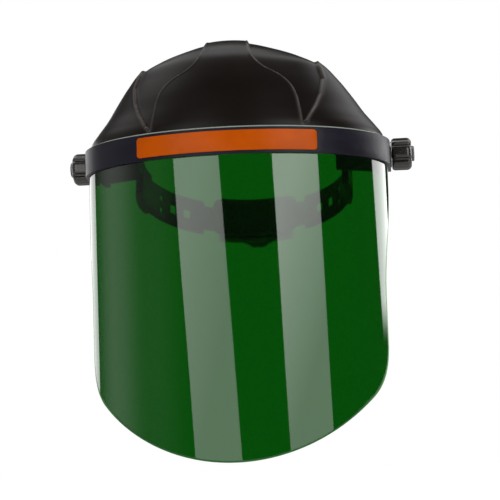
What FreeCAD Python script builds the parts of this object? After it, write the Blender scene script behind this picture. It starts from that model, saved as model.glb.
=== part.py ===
import FreeCAD, Part

# Face shield with a brow guard, a full-length visor and ratchet headgear.
# Millimetres. Origin at the middle of the tilt axis. +X to the wearer's left, the
# front faces -Y, +Z up. Each sub-part is written to parts/NAME.step.
import os
from math import cos, degrees, pi, radians, sin, sqrt, tan

V = FreeCAD.Vector
X, Y, Z = V(1, 0, 0), V(0, 1, 0), V(0, 0, 1)
ORIGIN = V(0, 0, 0)

# ---- clearances -------------------------------------------------------------
FIT = 0.05            # radial running clearance of a shaft in its hole
LAID = 0.1            # gap between faces that lie on each other in one body
CLEAR = 0.3           # gap between pieces that move past each other

# ---- shield: plan shape shared by band, visor and crown skirt ---------------
HALF_WIDTH = 122.0    # outer half width of the band
FRONT_DEPTH = 92.0    # from the widest place to the front of the band
FRONT_CENTRE_Y = -30.0
SIDE_END_Y = 0.0      # the straight sides end above and below the pivots here

BAND_TOP = 5.8
BAND_BOTTOM = -14.0
BAND_THICK = 2.6
VISOR_THICK = 1.0
SKIRT_THICK = 2.8
SKIRT_BOTTOM = -11.5
EAR_RADIUS = 13.2

VISOR_TOP = 6.6       # the sheet's edge shows just above the band
VISOR_END_Y = -16.0   # rear edge of the sheet beside the pivots
VISOR_WAIST_Z = -74.0  # pole of the edge's forward sweep
VISOR_LOW_Y, VISOR_LOW_Z = -54.0, -118.0
VISOR_BOTTOM = -241.8
VISOR_BOTTOM_RADIUS = 140.0
VISOR_TURN_Z, VISOR_CORNER_Z = -156.0, -178.5  # where the rounded corner starts, and its pole
VISOR_CORNER_END_Y, VISOR_CORNER_END_Z = -75.6, -197.0

INSERT_HALF_LENGTH = 68.3
INSERT_HEIGHT = 15.4
INSERT_PROUD = 0.6
INSERT_SUNK = 1.1
INSERT_CORNER = 2.5

STUD_RADIUS = 2.5
STUD_HEAD_RADIUS = 4.5
STUD_HEAD_THICK = 1.2
STUD_ANGLES = (-72, -48, -24, 0, 24, 48, 72)   # round the plan ellipse
STUD_Z = -4.0
STUD_TIP_DEPTH = 1.5  # from the band's outer face to a stud's tip
VISOR_HOLE_RADIUS = 3.2

# ---- crown: level, half width, widest Y, front Y of its outer sections ------
CROWN_WALL = 2.8
CROWN_SECTIONS = (
    (11.0, 116.6, -30.0, -118.0),
    (18.0, 111.6, -30.0, -117.0),
    (28.0, 103.5, -31.0, -115.0),
    (40.0, 95.0, -35.0, -112.0),
    (53.0, 84.5, -43.0, -107.0),
    (64.0, 73.0, -53.0, -101.5),
    (71.0, 58.0, -60.0, -96.0),
    (77.5, 37.0, -67.0, -89.0),
    (82.0, 18.0, -72.0, -82.0),
)
CROWN_BASE = -0.2     # the dome stands on the skirt here
CROWN_REAR_SPARE = 30.0                           # how far back the dome runs before it is trimmed
CROWN_REAR_LOW_Y, CROWN_REAR_TOP_Y = 6.0, -71.0   # slanted free rear edge
PANEL_STEP = 1.6      # how far the two channels lie below the raised panels
CROWN_DRAWN_HALF_WIDTH, CROWN_DRAWN_DEPTH = 118.2, 88.2      # the skirt that the rows were drawn on
INNER_RIDGE = ((57, 9), (56, 24), (53, 39), (42, 56), (30, 66), (22, 74), (17, 84))
OUTER_RIDGE = ((71, 66), (76, 52), (75, 40), (70, 30), (64, 20))

# ---- pivots: a stack along +X, mirrored for the other side ------------------
BUSH_BORE = 3.0 + FIT
BOLT_RADIUS = 3.0
BUSH_RADIUS = 4.2
ARM_THICK = 2.9
DISC_THICK = 1.7
DISC_RADIUS = 12.6
BOLT_HEAD_RADIUS, BOLT_HEAD_THICK = 7.5, 2.0
SQUARE_NECK = 7.0
WASHER_RADIUS, WASHER_THICK = 10.5, 0.9
KNOB_RADIUS = 13.8
KNOB_LENGTH = 16.0
KNOB_LOBES = 6
KNOB_FLUTE_RADIUS, KNOB_FLUTE_DEPTH, KNOB_ROUND = 2.6, 2.0, 3.0
KNOB_GRIP_START = 2.5  # the flutes start this far from the knob's inner face
NUT_ACROSS, NUT_THICK, NUT_DEPTH = 10.0, 5.0, 4.0
BOLT_PAST_NUT = 1.5
CAP_RADIUS, CAP_PROUD, CAP_SEAT, CAP_ROUND = 6.2, 2.3, 1.5, 0.8
LUG_ORBIT, LUG_RADIUS, LUG_ANGLE = 9.2, 1.6, 130.0
TILT_RANGE = 95.0
SLOT_SPARE = 3.0      # degrees past each end of the tilt range

# ---- headgear ---------------------------------------------------------------
RING_RADIUS = 84.0    # inside of the headband at the front and sides
RING_CENTRE_Y = -4.0
HEADBAND_THICK = 2.4
HEADBAND_BOTTOM, HEADBAND_TOP = -4.0, 24.0
SIDE_BAR_END_Y = 18.0
SWEATBAND_THICK = 5.0
SWEATBAND_SPREAD = 62.0
SWEATBAND_LIP = 1.0   # how far it stands past the headband's edges
ARM_LOW, ARM_HIGH = -16.0, 9.6
ARM_FRONT_Y, ARM_STRUT_Y = -18.0, -15.0
STRUT_ANGLE = 22.0    # where the arm's strut meets the headband, forward of its side
STRUT_ROOT_HALF = 1.5

TILT = 16.0           # how far the rear ring drops towards the nape, degrees
REAR_CENTRE_Y = 34.0
BACK_PLATE_R, BACK_PLATE_THICK = 83.6, 2.0
INNER_STRAP_R, OUTER_STRAP_R, STRAP_THICK = 86.0, 88.0, 1.6
STRAP_HALF_HEIGHT, TAIL_HALF_HEIGHT = 15.5, 11.0
STRAP_FRONT, STRAP_SHOULDER, TAIL_END = 97.0, 31.0, 17.0     # degrees from the rear
# where each slot lies, half its spread (degrees), its lowest and highest level
STRAP_SLOTS = ((42, 2.4, -4, 4), (52, 2.4, -4, 4), (62, 1.4, 3, 8), (62, 1.4, -8, -3))
HOUSING_R, HOUSING_THICK = 90.0, 2.6
HOUSING_SPREAD, HOUSING_HALF_HEIGHT, HOUSING_RIM = 21.0, 19.0, 2.2
SCREW_ANGLE, SCREW_Z, SCREW_RADIUS, SCREW_HEAD_RADIUS, SCREW_SINK = 17.0, 14.1, 1.3, 2.5, 1.3
BOSS_RADIUS = 2.6
NAPE_PAD_THICK, NAPE_PAD_SPREAD, NAPE_PAD_HALF_HEIGHT = 5.6, 27.0, 17.0
SLEEVE_FRONT, SLEEVE_REAR = 104.0, 76.0
SLEEVE_WALL = 1.8

PINION_TEETH, PINION_PITCH = 10, 5.0          # tooth count and pitch radius
TOOTH_PITCH = 2 * pi * PINION_PITCH / PINION_TEETH
TOOTH_WIDTH = 1.12                             # at the pitch line, with backlash
TOOTH_TIP, TOOTH_ROOT = 0.8, 1.2
FLANK = tan(radians(20))
RACK_TEETH_EACH_WAY = 5
TRUNNION_RADIUS, SHAFT_RADIUS = 2.0, 3.0
SEAT_RADIUS, SEAT_R = 14.0, 93.6
RATCHET_KNOB_RADIUS, RATCHET_KNOB_LENGTH, RATCHET_KNOB_LOBES = 18.0, 15.0, 12
DIAL_FLUTE_RADIUS, DIAL_FLUTE_ORBIT, DIAL_ROUND = 3.0, 19.6, 2.0
KNOB_HOLLOW_RADIUS, KNOB_HOLLOW_DEPTH = 13.5, 4.0
CLICK_TEETH, CLICK_RADIUS = 24, 0.7
SPRING_RADIUS, SPRING_WIRE, SPRING_NOSE_ORBIT, SPRING_NOSE_RADIUS = 10.6, 1.0, 11.9, 0.9
SPRING_SHORT = 1.2     # gap between the spring and the floor of the knob's hollow
SHAFT_DEPTH = 8.0      # the pinion's shaft reaches this far into the knob
KNOB_SCREW_RADIUS, KNOB_SCREW_HEAD, KNOB_SCREW_SINK = 1.3, 3.2, 3.0
KNOB_SCREW_THREAD = 7.0

TOP_STRAP_HALF_WIDTH, TOP_STRAP_FOOT_Z, TOP_STRAP_TOP = 90.7, 8.0, 93.0
TOP_STRAP_THICK, TOP_STRAP_BREADTH, TOP_STRAP_Y = 1.8, 22.0, -2.0
TOP_STRAP_LAP = 18.0
PEG_RADIUS, PEG_HEAD_RADIUS, PEG_FOOT_RADIUS = 3.0, 4.2, 5.0
PEG_HEAD_THICK, PEG_FOOT_THICK, PEG_SPACING = 1.0, 1.4, 9.0
SIDE_STUD_Z, SIDE_STUD_HEAD_RADIUS, SIDE_STUD_HEAD_THICK = 18.0, 4.6, 1.4
SIDE_STUD_PROUD = 1.6

# ---- derived sizes ----------------------------------------------------------
PAST = 1.0            # how far a cutter passes what it cuts
SAME = 0.01           # places nearer than this are the same
FAR = 200.0           # outside the part on every side
VISOR_INSET = BAND_THICK + LAID
SKIRT_INSET = VISOR_INSET + VISOR_THICK + LAID
BAND_IN_X = HALF_WIDTH - BAND_THICK
SKIRT_OUT_X = HALF_WIDTH - SKIRT_INSET
SKIRT_IN_X = SKIRT_OUT_X - SKIRT_THICK
DISC_IN_X = SKIRT_IN_X - LAID - DISC_THICK
ARM_OUT_X = DISC_IN_X - CLEAR
ARM_IN_X = ARM_OUT_X - ARM_THICK
KNOB_IN_X = HALF_WIDTH + WASHER_THICK + 2 * LAID
KNOB_OUT_X = KNOB_IN_X + KNOB_LENGTH
NUT_IN_X = KNOB_IN_X + NUT_DEPTH
NUT_OUT_X = NUT_IN_X + NUT_THICK
BUSH_CLEAR = BUSH_RADIUS + FIT
HOUSING_OUT_R = HOUSING_R + HOUSING_THICK
DIAL_Y = REAR_CENTRE_Y + SEAT_R + CLEAR       # base of the ratchet knob
DIAL_OUT_Y = DIAL_Y + RATCHET_KNOB_LENGTH
SHAFT_END_Y = DIAL_Y + SHAFT_DEPTH


# ---- helpers ----------------------------------------------------------------
def box(x0, x1, y0, y1, z0, z1):
    return Part.makeBox(x1 - x0, y1 - y0, z1 - z0, V(x0, y0, z0))


def rod(radius, start, end):
    span = end - start
    return Part.makeCylinder(radius, span.Length, start, span)


def side_rod(radius, x0, x1, y=0.0, z=0.0):
    return rod(radius, V(x0, y, z), V(x1, y, z))


def prism(points, direction):
    return Part.Face(Part.makePolygon(points + points[:1])).extrude(direction)


def fused(first, *others):
    return first.fuse(list(others)).removeSplitter()


def mirrored(shape):
    return shape.mirror(ORIGIN, X)


def save(name, shape):
    solids = shape.Solids
    if not solids or not all(s.isValid() and s.Volume > 0 for s in solids):
        raise ValueError("bad solid: " + name)
    result = solids[0] if len(solids) == 1 else Part.makeCompound(solids)
    result.exportStep("parts/" + name + ".step")
    print("%-24s solids %d  volume %.1f" % (name, len(solids), sum(s.Volume for s in solids)))


# ---- shield -----------------------------------------------------------------
def plan_wire(half_width, centre_y, front_y, rear_y, z):
    """Half ellipse round the front, straight sides back to rear_y."""
    ellipse = Part.Ellipse(V(0, centre_y, z), half_width, centre_y - front_y)
    arc = Part.ArcOfEllipse(ellipse, pi, 2 * pi).toShape()
    left, right = V(-half_width, centre_y, z), V(half_width, centre_y, z)
    back_left, back_right = V(-half_width, rear_y, z), V(half_width, rear_y, z)
    return Part.Wire([arc, Part.makeLine(right, back_right),
                      Part.makeLine(back_right, back_left), Part.makeLine(back_left, left)])


def plan_prism(inset, z0, z1, rear_y):
    wire = plan_wire(HALF_WIDTH - inset, FRONT_CENTRE_Y,
                     FRONT_CENTRE_Y - FRONT_DEPTH + inset, rear_y, z0)
    return Part.Face(wire).extrude(V(0, 0, z1 - z0))


def plan_shell(inset, thick, z0, z1, rear_y):
    return plan_prism(inset, z0, z1, rear_y).cut(
        plan_prism(inset + thick, z0 - PAST, z1 + PAST, rear_y + PAST))


def both_sides(shape):
    return shape, mirrored(shape)


def plan_point(angle, inset, z):
    """A point on the plan ellipse, and the outward direction there."""
    t = radians(angle)
    a, b = HALF_WIDTH - inset, FRONT_DEPTH - inset
    point = V(a * sin(t), FRONT_CENTRE_Y - b * cos(t), z)
    return point, V(sin(t) / a, -cos(t) / b, 0).normalize()


def stud_rods(radius, deep, shallow):
    """One rod per stud between two depths below the band's outer face, all on the same axes."""
    rods = []
    for angle in STUD_ANGLES:
        point, outward = plan_point(angle, 0.0, STUD_Z)
        rods.append(rod(radius, point - outward * deep, point - outward * shallow))
    return rods


def ear_plate(x0, x1):
    """Round plate about the tilt axis, trimmed level with the band's top."""
    return side_rod(EAR_RADIUS, x0, x1).common(box(x0, x1, -EAR_RADIUS, EAR_RADIUS, -EAR_RADIUS, BAND_TOP))


def make_visor_band():
    band = plan_shell(0, BAND_THICK, BAND_BOTTOM, BAND_TOP, SIDE_END_Y)
    for ear in both_sides(ear_plate(BAND_IN_X, HALF_WIDTH)):
        band = band.fuse(ear)
    for bore in both_sides(side_rod(BUSH_CLEAR, BAND_IN_X - PAST, HALF_WIDTH + PAST)):
        band = band.cut(bore)
    band = band.cut(stud_rods(STUD_RADIUS + FIT, BAND_THICK + PAST, STUD_TIP_DEPTH - LAID))
    return band.cut(insert_block(LAID, PAST)).removeSplitter()


def insert_block(gap, proud):
    """The rounded plate let into the front of the band, grown by gap all round."""
    z_mid = (BAND_TOP + BAND_BOTTOM) / 2
    x, h = INSERT_HALF_LENGTH + gap, INSERT_HEIGHT / 2 + gap
    window = box(-x, x, FRONT_CENTRE_Y - FAR, FRONT_CENTRE_Y, z_mid - h, z_mid + h)
    corners = [e for e in window.Edges if abs(e.Length - FAR) < SAME]
    window = window.makeFillet(INSERT_CORNER + gap, corners)
    sheet = plan_shell(-proud, proud + INSERT_SUNK + gap, z_mid - 2 * h, z_mid + 2 * h, SIDE_END_Y)
    return sheet.common(window)


def visor_side_region():
    """Side view of the sheet: what lies in front of its rear edge and its rounded corner."""
    high, start = V(0, VISOR_END_Y, VISOR_TOP + PAST), V(0, VISOR_END_Y, BAND_BOTTOM)
    waist, low = V(0, VISOR_LOW_Y, VISOR_WAIST_Z), V(0, VISOR_LOW_Y, VISOR_LOW_Z)
    turn, pole = V(0, VISOR_LOW_Y, VISOR_TURN_Z), V(0, VISOR_LOW_Y, VISOR_CORNER_Z)
    end = V(0, VISOR_CORNER_END_Y, VISOR_CORNER_END_Z)
    below = V(0, VISOR_CORNER_END_Y, VISOR_BOTTOM - PAST)
    edges = [Part.makeLine(high, start), quadratic(start, waist, low),
             Part.makeLine(low, turn), quadratic(turn, pole, end),
             Part.makeLine(end, below), Part.makeLine(below, V(0, -FAR, below.z)),
             Part.makeLine(V(0, -FAR, below.z), V(0, -FAR, high.z)), Part.makeLine(V(0, -FAR, high.z), high)]
    region = Part.Face(Part.Wire(edges)).extrude(X * 2 * FAR)
    region.translate(X * -FAR)
    return region


def quadratic(start, pole, end):
    curve = Part.BSplineCurve()
    curve.buildFromPoles([start, pole, end], False, 2)
    return curve.toShape()


def visor_front_region():
    """Front view of the sheet: a round bottom edge below straight sides."""
    r = VISOR_BOTTOM_RADIUS
    centre_z = VISOR_BOTTOM + r
    disc = rod(r, V(0, -FAR, centre_z), V(0, FAR, centre_z))
    return disc.fuse(box(-r, r, -FAR, FAR, centre_z, VISOR_TOP))


def make_visor():
    sheet = plan_shell(VISOR_INSET, VISOR_THICK, VISOR_BOTTOM - PAST, VISOR_TOP, SIDE_END_Y)
    sheet = sheet.common(visor_side_region()).common(visor_front_region())
    return sheet.cut(stud_rods(VISOR_HOLE_RADIUS, SKIRT_INSET + PAST, BAND_THICK - PAST))


def crown_levels():
    """The crown's sections from the skirt's top upwards, with rows added between for a smooth dome."""
    base = (CROWN_BASE, SKIRT_OUT_X, FRONT_CENTRE_Y, FRONT_CENTRE_Y - FRONT_DEPTH + SKIRT_INSET)
    wide = SKIRT_OUT_X / CROWN_DRAWN_HALF_WIDTH
    deep = (FRONT_DEPTH - SKIRT_INSET) / CROWN_DRAWN_DEPTH
    rows = [base] + [(z, a * wide, y, y - (y - front) * deep) for z, a, y, front in CROWN_SECTIONS]
    ends = [rows[0]] + rows + [rows[-1]]
    levels = []
    for k in range(len(rows) - 1):
        before, start, end, after = ends[k:k + 4]
        for t in (0.0, 1 / 3, 2 / 3):
            levels.append(tuple(between(*four, t) for four in zip(before, start, end, after)))
    return levels + [rows[-1]]


def between(before, start, end, after, t):
    """Catmull-Rom curve from start to end at t."""
    rise_in, rise_out = (end - before) / 2, (after - start) / 2
    turn = 3 * (end - start) - 2 * rise_in - rise_out
    settle = 2 * (start - end) + rise_in + rise_out
    return start + t * (rise_in + t * (turn + t * settle))


def crown_loft(inset):
    """The closed dome with its wall moved inward by inset."""
    top_level = CROWN_SECTIONS[-1][0]
    wires = []
    for level, half_width, centre_y, front_y in crown_levels():
        share = (level - CROWN_BASE) / (top_level - CROWN_BASE)
        wires.append(plan_wire(half_width - inset, centre_y, front_y + inset, CROWN_REAR_SPARE,
                               level - inset * share))
    return Part.makeLoft(wires, True, True)


def channel_prisms():
    """The two sunk channels between the middle panel and the side panels, in front view."""
    ends = [(INNER_RIDGE[-1][0], FAR), (OUTER_RIDGE[0][0], FAR)]
    outline = list(INNER_RIDGE) + ends + list(OUTER_RIDGE)
    return both_sides(prism([V(x, -FAR, z) for x, z in outline], Y * 2 * FAR))


def crown_front_region():
    """Side view of the crown: what lies in front of its slanted free edge."""
    low, high = CROWN_BASE - 0.5, CROWN_SECTIONS[-1][0] + 6
    slope = [V(0, CROWN_REAR_LOW_Y, low), V(0, CROWN_REAR_TOP_Y, high), V(0, -FAR, high), V(0, -FAR, low)]
    return prism([p - X * FAR for p in slope], X * 2 * FAR)


def make_crown_shell():
    outer, inner = crown_loft(0.0), crown_loft(CROWN_WALL)
    dome = outer.cut(inner)
    skin = outer.cut(crown_loft(PANEL_STEP))
    for channel in channel_prisms():
        dome = dome.cut(skin.common(channel))
    dome = dome.common(crown_front_region())
    skirt = plan_shell(SKIRT_INSET, SKIRT_THICK, SKIRT_BOTTOM, CROWN_BASE, SIDE_END_Y)
    for pocket in both_sides(side_rod(DISC_RADIUS + CLEAR, RING_RADIUS, SKIRT_IN_X)):
        dome = dome.cut(pocket)
    shell = dome.fuse(skirt)
    for ear in both_sides(ear_plate(SKIRT_IN_X, BAND_IN_X - LAID)):
        shell = shell.fuse(ear)
    for bore in both_sides(side_rod(BUSH_CLEAR, SKIRT_IN_X - PAST, BAND_IN_X + PAST)):
        shell = shell.cut(bore)
    holes = stud_rods(STUD_RADIUS + FIT, SKIRT_INSET + SKIRT_THICK + PAST, BAND_THICK)
    return shell.cut(holes).removeSplitter()


def make_studs():
    """Snap studs: a head behind the skirt, a shank through the visor into the band."""
    seat = SKIRT_INSET + SKIRT_THICK + 2 * LAID
    heads = stud_rods(STUD_HEAD_RADIUS, seat + STUD_HEAD_THICK, seat)
    shanks = stud_rods(STUD_RADIUS, seat + STUD_HEAD_THICK, STUD_TIP_DEPTH)
    return Part.makeCompound([h.fuse(s).removeSplitter() for h, s in zip(heads, shanks)])


# ---- pivots -----------------------------------------------------------------
def tube(outer, inner, x0, x1):
    return side_rod(outer, x0, x1).cut(side_rod(inner, x0 - PAST, x1 + PAST))


def make_pivot_bolt():
    head = side_rod(BOLT_HEAD_RADIUS, ARM_IN_X - LAID - BOLT_HEAD_THICK, ARM_IN_X - LAID)
    s = SQUARE_NECK / 2
    neck = box(ARM_IN_X - LAID, ARM_OUT_X - LAID, -s, s, -s, s)
    shank = side_rod(BOLT_RADIUS, ARM_OUT_X - LAID, NUT_OUT_X + BOLT_PAST_NUT)
    return fused(head, neck, shank)


def make_pivot_bush():
    return tube(BUSH_RADIUS, BUSH_BORE, ARM_OUT_X + LAID, HALF_WIDTH - LAID)


def make_spring_washer():
    return tube(WASHER_RADIUS, BOLT_RADIUS + CLEAR + LAID, HALF_WIDTH + LAID, HALF_WIDTH + WASHER_THICK)


def side_sector(r0, r1, x0, x1, start, sweep):
    """Part of a ring about the tilt axis; angles run from +Y towards +Z."""
    sector = Part.makeCylinder(r1, x1 - x0, ORIGIN, Z, sweep)
    sector = sector.cut(Part.makeCylinder(r0, x1 - x0 + 2 * PAST, Z * -PAST))
    sector.rotate(ORIGIN, Y, 90)
    sector.rotate(ORIGIN, X, start + 90)
    sector.translate(V(x0, 0, 0))
    return sector


def on_orbit(radius, angle):
    """The two coordinates of a point on a circle, angle in degrees."""
    return radius * cos(radians(angle)), radius * sin(radians(angle))


def end_circles(shape, place, axis):
    """The edges of a shape that lie flat at a place along an axis, 0 for X and 1 for Y."""
    found = []
    for edge in shape.Edges:
        ends = edge.BoundBox
        low, high = ((ends.XMin, ends.XMax), (ends.YMin, ends.YMax))[axis]
        if abs(low - place) < SAME and abs(high - place) < SAME:
            found.append(edge)
    return found


def make_stop_disc():
    """Disc with a curved slot that the arm's lug runs in: it limits the tilt."""
    disc = tube(DISC_RADIUS, BUSH_CLEAR, DISC_IN_X, DISC_IN_X + DISC_THICK)
    half = LUG_RADIUS + CLEAR
    start, sweep = LUG_ANGLE - SLOT_SPARE, TILT_RANGE + 2 * SLOT_SPARE
    x0, x1 = DISC_IN_X - PAST, DISC_IN_X + DISC_THICK + PAST
    slot = side_sector(LUG_ORBIT - half, LUG_ORBIT + half, x0, x1, start, sweep)
    for end in (start, start + sweep):
        slot = slot.fuse(side_rod(half, x0, x1, *on_orbit(LUG_ORBIT, end)))
    return disc.cut(slot)


def make_pivot_knob():
    knob = side_rod(KNOB_RADIUS, KNOB_IN_X, KNOB_OUT_X)
    knob = knob.makeFillet(KNOB_ROUND, end_circles(knob, KNOB_OUT_X, 0))
    orbit = KNOB_RADIUS + KNOB_FLUTE_RADIUS - KNOB_FLUTE_DEPTH
    for k in range(KNOB_LOBES):
        place = on_orbit(orbit, 360 * (k + 0.5) / KNOB_LOBES)
        knob = knob.cut(side_rod(KNOB_FLUTE_RADIUS, KNOB_IN_X + KNOB_GRIP_START, KNOB_OUT_X + PAST, *place))
    knob = knob.cut(side_rod(BOLT_RADIUS + FIT, KNOB_IN_X - PAST, NUT_OUT_X))
    knob = knob.cut(hex_bar(NUT_ACROSS + 2 * FIT, NUT_IN_X, KNOB_OUT_X - CAP_SEAT))
    return knob.cut(side_rod(CAP_RADIUS + FIT, KNOB_OUT_X - CAP_SEAT, KNOB_OUT_X + PAST)).removeSplitter()


def hex_bar(across, x0, x1):
    corner = across / sqrt(3)
    points = [V(x0, corner * cos(k * pi / 3), corner * sin(k * pi / 3)) for k in range(6)]
    return prism(points, X * (x1 - x0))


def make_knob_nut():
    thread = side_rod(BOLT_RADIUS + FIT, NUT_IN_X - PAST, KNOB_OUT_X)
    return hex_bar(NUT_ACROSS, NUT_IN_X, NUT_OUT_X).cut(thread)


def make_knob_cap():
    cap = side_rod(CAP_RADIUS, KNOB_OUT_X - CAP_SEAT + LAID, KNOB_OUT_X + CAP_PROUD)
    return cap.makeFillet(CAP_ROUND, end_circles(cap, KNOB_OUT_X + CAP_PROUD, 0))


# ---- headgear ---------------------------------------------------------------
def arc_plate(r0, r1, b0, b1, z0, z1, centre_y=REAR_CENTRE_Y):
    """Upright plate bent round a vertical axis. b is measured from +Y towards +X."""
    centre = V(0, centre_y, z0)
    plate = Part.makeCylinder(r1, z1 - z0, centre, Z, b1 - b0)
    plate = plate.cut(Part.makeCylinder(r0, z1 - z0 + 2 * PAST, centre - Z * PAST, Z))
    plate.rotate(centre, Z, 90.0 - b1)
    return plate


def dropped(shape):
    """Turn the level rear assembly down towards the nape."""
    lowered = shape.copy()
    lowered.rotate(ORIGIN, X, -TILT)
    return lowered


def upright(points, z0, z1):
    return prism([V(x, y, z0) for x, y in points], V(0, 0, z1 - z0))


def make_arm():
    """Side arm: a plate at the pivot, a strut in to the headband, and its stop lug."""
    plate = side_rod((ARM_HIGH - ARM_LOW) / 2, ARM_IN_X, ARM_OUT_X, 0, (ARM_HIGH + ARM_LOW) / 2)
    plate = plate.fuse(box(ARM_IN_X, ARM_OUT_X, ARM_FRONT_Y, 0, ARM_LOW, ARM_HIGH))
    t, mid = radians(STRUT_ANGLE), RING_RADIUS + HEADBAND_THICK / 2
    root_x, root_y = mid * cos(t), RING_CENTRE_Y - mid * sin(t)
    strut = upright([(ARM_OUT_X, ARM_FRONT_Y), (ARM_IN_X, ARM_STRUT_Y),
                     (root_x, root_y + STRUT_ROOT_HALF), (root_x, root_y - STRUT_ROOT_HALF)],
                    ARM_LOW, ARM_HIGH)
    lug_end = ARM_OUT_X + CLEAR + DISC_THICK - LAID
    lug = side_rod(LUG_RADIUS, ARM_OUT_X - PAST, lug_end, *on_orbit(LUG_ORBIT, LUG_ANGLE))
    s = SQUARE_NECK / 2 + FIT
    arm = plate.fuse([strut, lug])
    return arm.cut(box(ARM_IN_X - PAST, ARM_OUT_X + PAST, -s, s, -s, s))


def make_sleeve(strap_r):
    """Curved channel on the side of the headband that the strap's front end runs in."""
    gap = CLEAR
    r0, r1 = strap_r - gap, strap_r + STRAP_THICK + gap
    h = STRAP_HALF_HEIGHT + gap
    h_out = h + SLEEVE_WALL
    outer = arc_plate(r0 - SLEEVE_WALL, r1 + SLEEVE_WALL, SLEEVE_REAR, SLEEVE_FRONT, -h_out, h_out)
    inner = arc_plate(r0, r1, SLEEVE_REAR - 2 * PAST, SLEEVE_FRONT + 2 * PAST, -h, h)
    return dropped(outer.cut(inner)), dropped(inner)


def side_bar():
    """Side of the headband from the front arc back to the sleeve."""
    return box(RING_RADIUS, RING_RADIUS + HEADBAND_THICK, RING_CENTRE_Y - 2 * PAST, SIDE_BAR_END_Y,
               HEADBAND_BOTTOM, HEADBAND_TOP)


def make_headband():
    band = arc_plate(RING_RADIUS, RING_RADIUS + HEADBAND_THICK, 88, 272,
                     HEADBAND_BOTTOM, HEADBAND_TOP, RING_CENTRE_Y)
    arms = both_sides(make_arm())
    pieces, hollows = [], []
    for side, radius in ((1, INNER_STRAP_R), (-1, OUTER_STRAP_R)):
        sleeve, hollow = make_sleeve(radius)
        pieces += [s if side > 0 else mirrored(s) for s in (sleeve, side_bar())]
        hollows.append(hollow if side > 0 else mirrored(hollow))
    body = band.fuse(list(arms) + pieces)
    for hollow in hollows:
        body = body.cut(hollow)
    hole = side_rod(PEG_RADIUS + FIT, RING_RADIUS - PAST, TOP_STRAP_HALF_WIDTH, TOP_STRAP_Y, SIDE_STUD_Z)
    for bore in both_sides(hole):
        body = body.cut(bore)
    return body.removeSplitter()


def make_sweatband():
    r1 = RING_RADIUS - CLEAR
    spread = SWEATBAND_SPREAD
    return arc_plate(r1 - SWEATBAND_THICK, r1, 180 - spread, 180 + spread,
                     HEADBAND_BOTTOM - SWEATBAND_LIP, HEADBAND_TOP + SWEATBAND_LIP, RING_CENTRE_Y)


# ---- ratchet ----------------------------------------------------------------
def tooth_half_width(outward):
    """Half width of a straight-sided tooth, outward of its pitch line."""
    return TOOTH_WIDTH / 2 - outward * FLANK


def rack_space(radius, up):
    """The space between two rack teeth, as a bar along Y at the rear."""
    tip_z, root_z = PINION_PITCH - TOOTH_TIP - LAID, PINION_PITCH + TOOTH_ROOT
    half_tip = TOOTH_PITCH / 2 - tooth_half_width(TOOTH_TIP)
    half_root = TOOTH_PITCH / 2 - tooth_half_width(-TOOTH_ROOT)
    y = REAR_CENTRE_Y + radius - 3 * PAST
    points = [V(-half_tip, y, up * tip_z), V(half_tip, y, up * tip_z),
              V(half_root, y, up * root_z), V(-half_root, y, up * root_z)]
    return prism(points, Y * (STRAP_THICK + 6 * PAST))


def make_rack_strap(radius, up):
    """Strap on the +X side; its tail passes the rear and carries a toothed slot."""
    r0, r1 = radius, radius + STRAP_THICK
    wide = arc_plate(r0, r1, STRAP_SHOULDER, STRAP_FRONT, -STRAP_HALF_HEIGHT, STRAP_HALF_HEIGHT)
    tail = arc_plate(r0, r1, -TAIL_END, STRAP_SHOULDER + PAST, -TAIL_HALF_HEIGHT, TAIL_HALF_HEIGHT)
    strap = wide.fuse(tail)
    tooth_angle = degrees(TOOTH_PITCH / (radius + STRAP_THICK / 2))
    reach = (RACK_TEETH_EACH_WAY + 0.5) * tooth_angle
    far, near = -(PINION_PITCH + TOOTH_ROOT + CLEAR), PINION_PITCH - TOOTH_TIP
    low, high = sorted((up * far, up * near))
    strap = strap.cut(arc_plate(r0 - PAST, r1 + PAST, -reach, reach, low, high))
    centre = V(0, REAR_CENTRE_Y, 0)
    for k in range(-RACK_TEETH_EACH_WAY, RACK_TEETH_EACH_WAY + 1):
        space = rack_space(radius, up)
        space.rotate(centre, Z, k * tooth_angle)
        strap = strap.cut(space)
    for angle, half_angle, low, high in STRAP_SLOTS:
        strap = strap.cut(arc_plate(r0 - PAST, r1 + PAST, angle - half_angle, angle + half_angle, low, high))
    return strap.removeSplitter()


def screw_places():
    for b in (-SCREW_ANGLE, SCREW_ANGLE):
        for z in (-SCREW_Z, SCREW_Z):
            yield radians(b), z


def radial_rod(radius, angle, z, r0, r1):
    direction = V(sin(angle), cos(angle), 0)
    centre = V(0, REAR_CENTRE_Y, z)
    return rod(radius, centre + direction * r0, centre + direction * r1)


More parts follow.
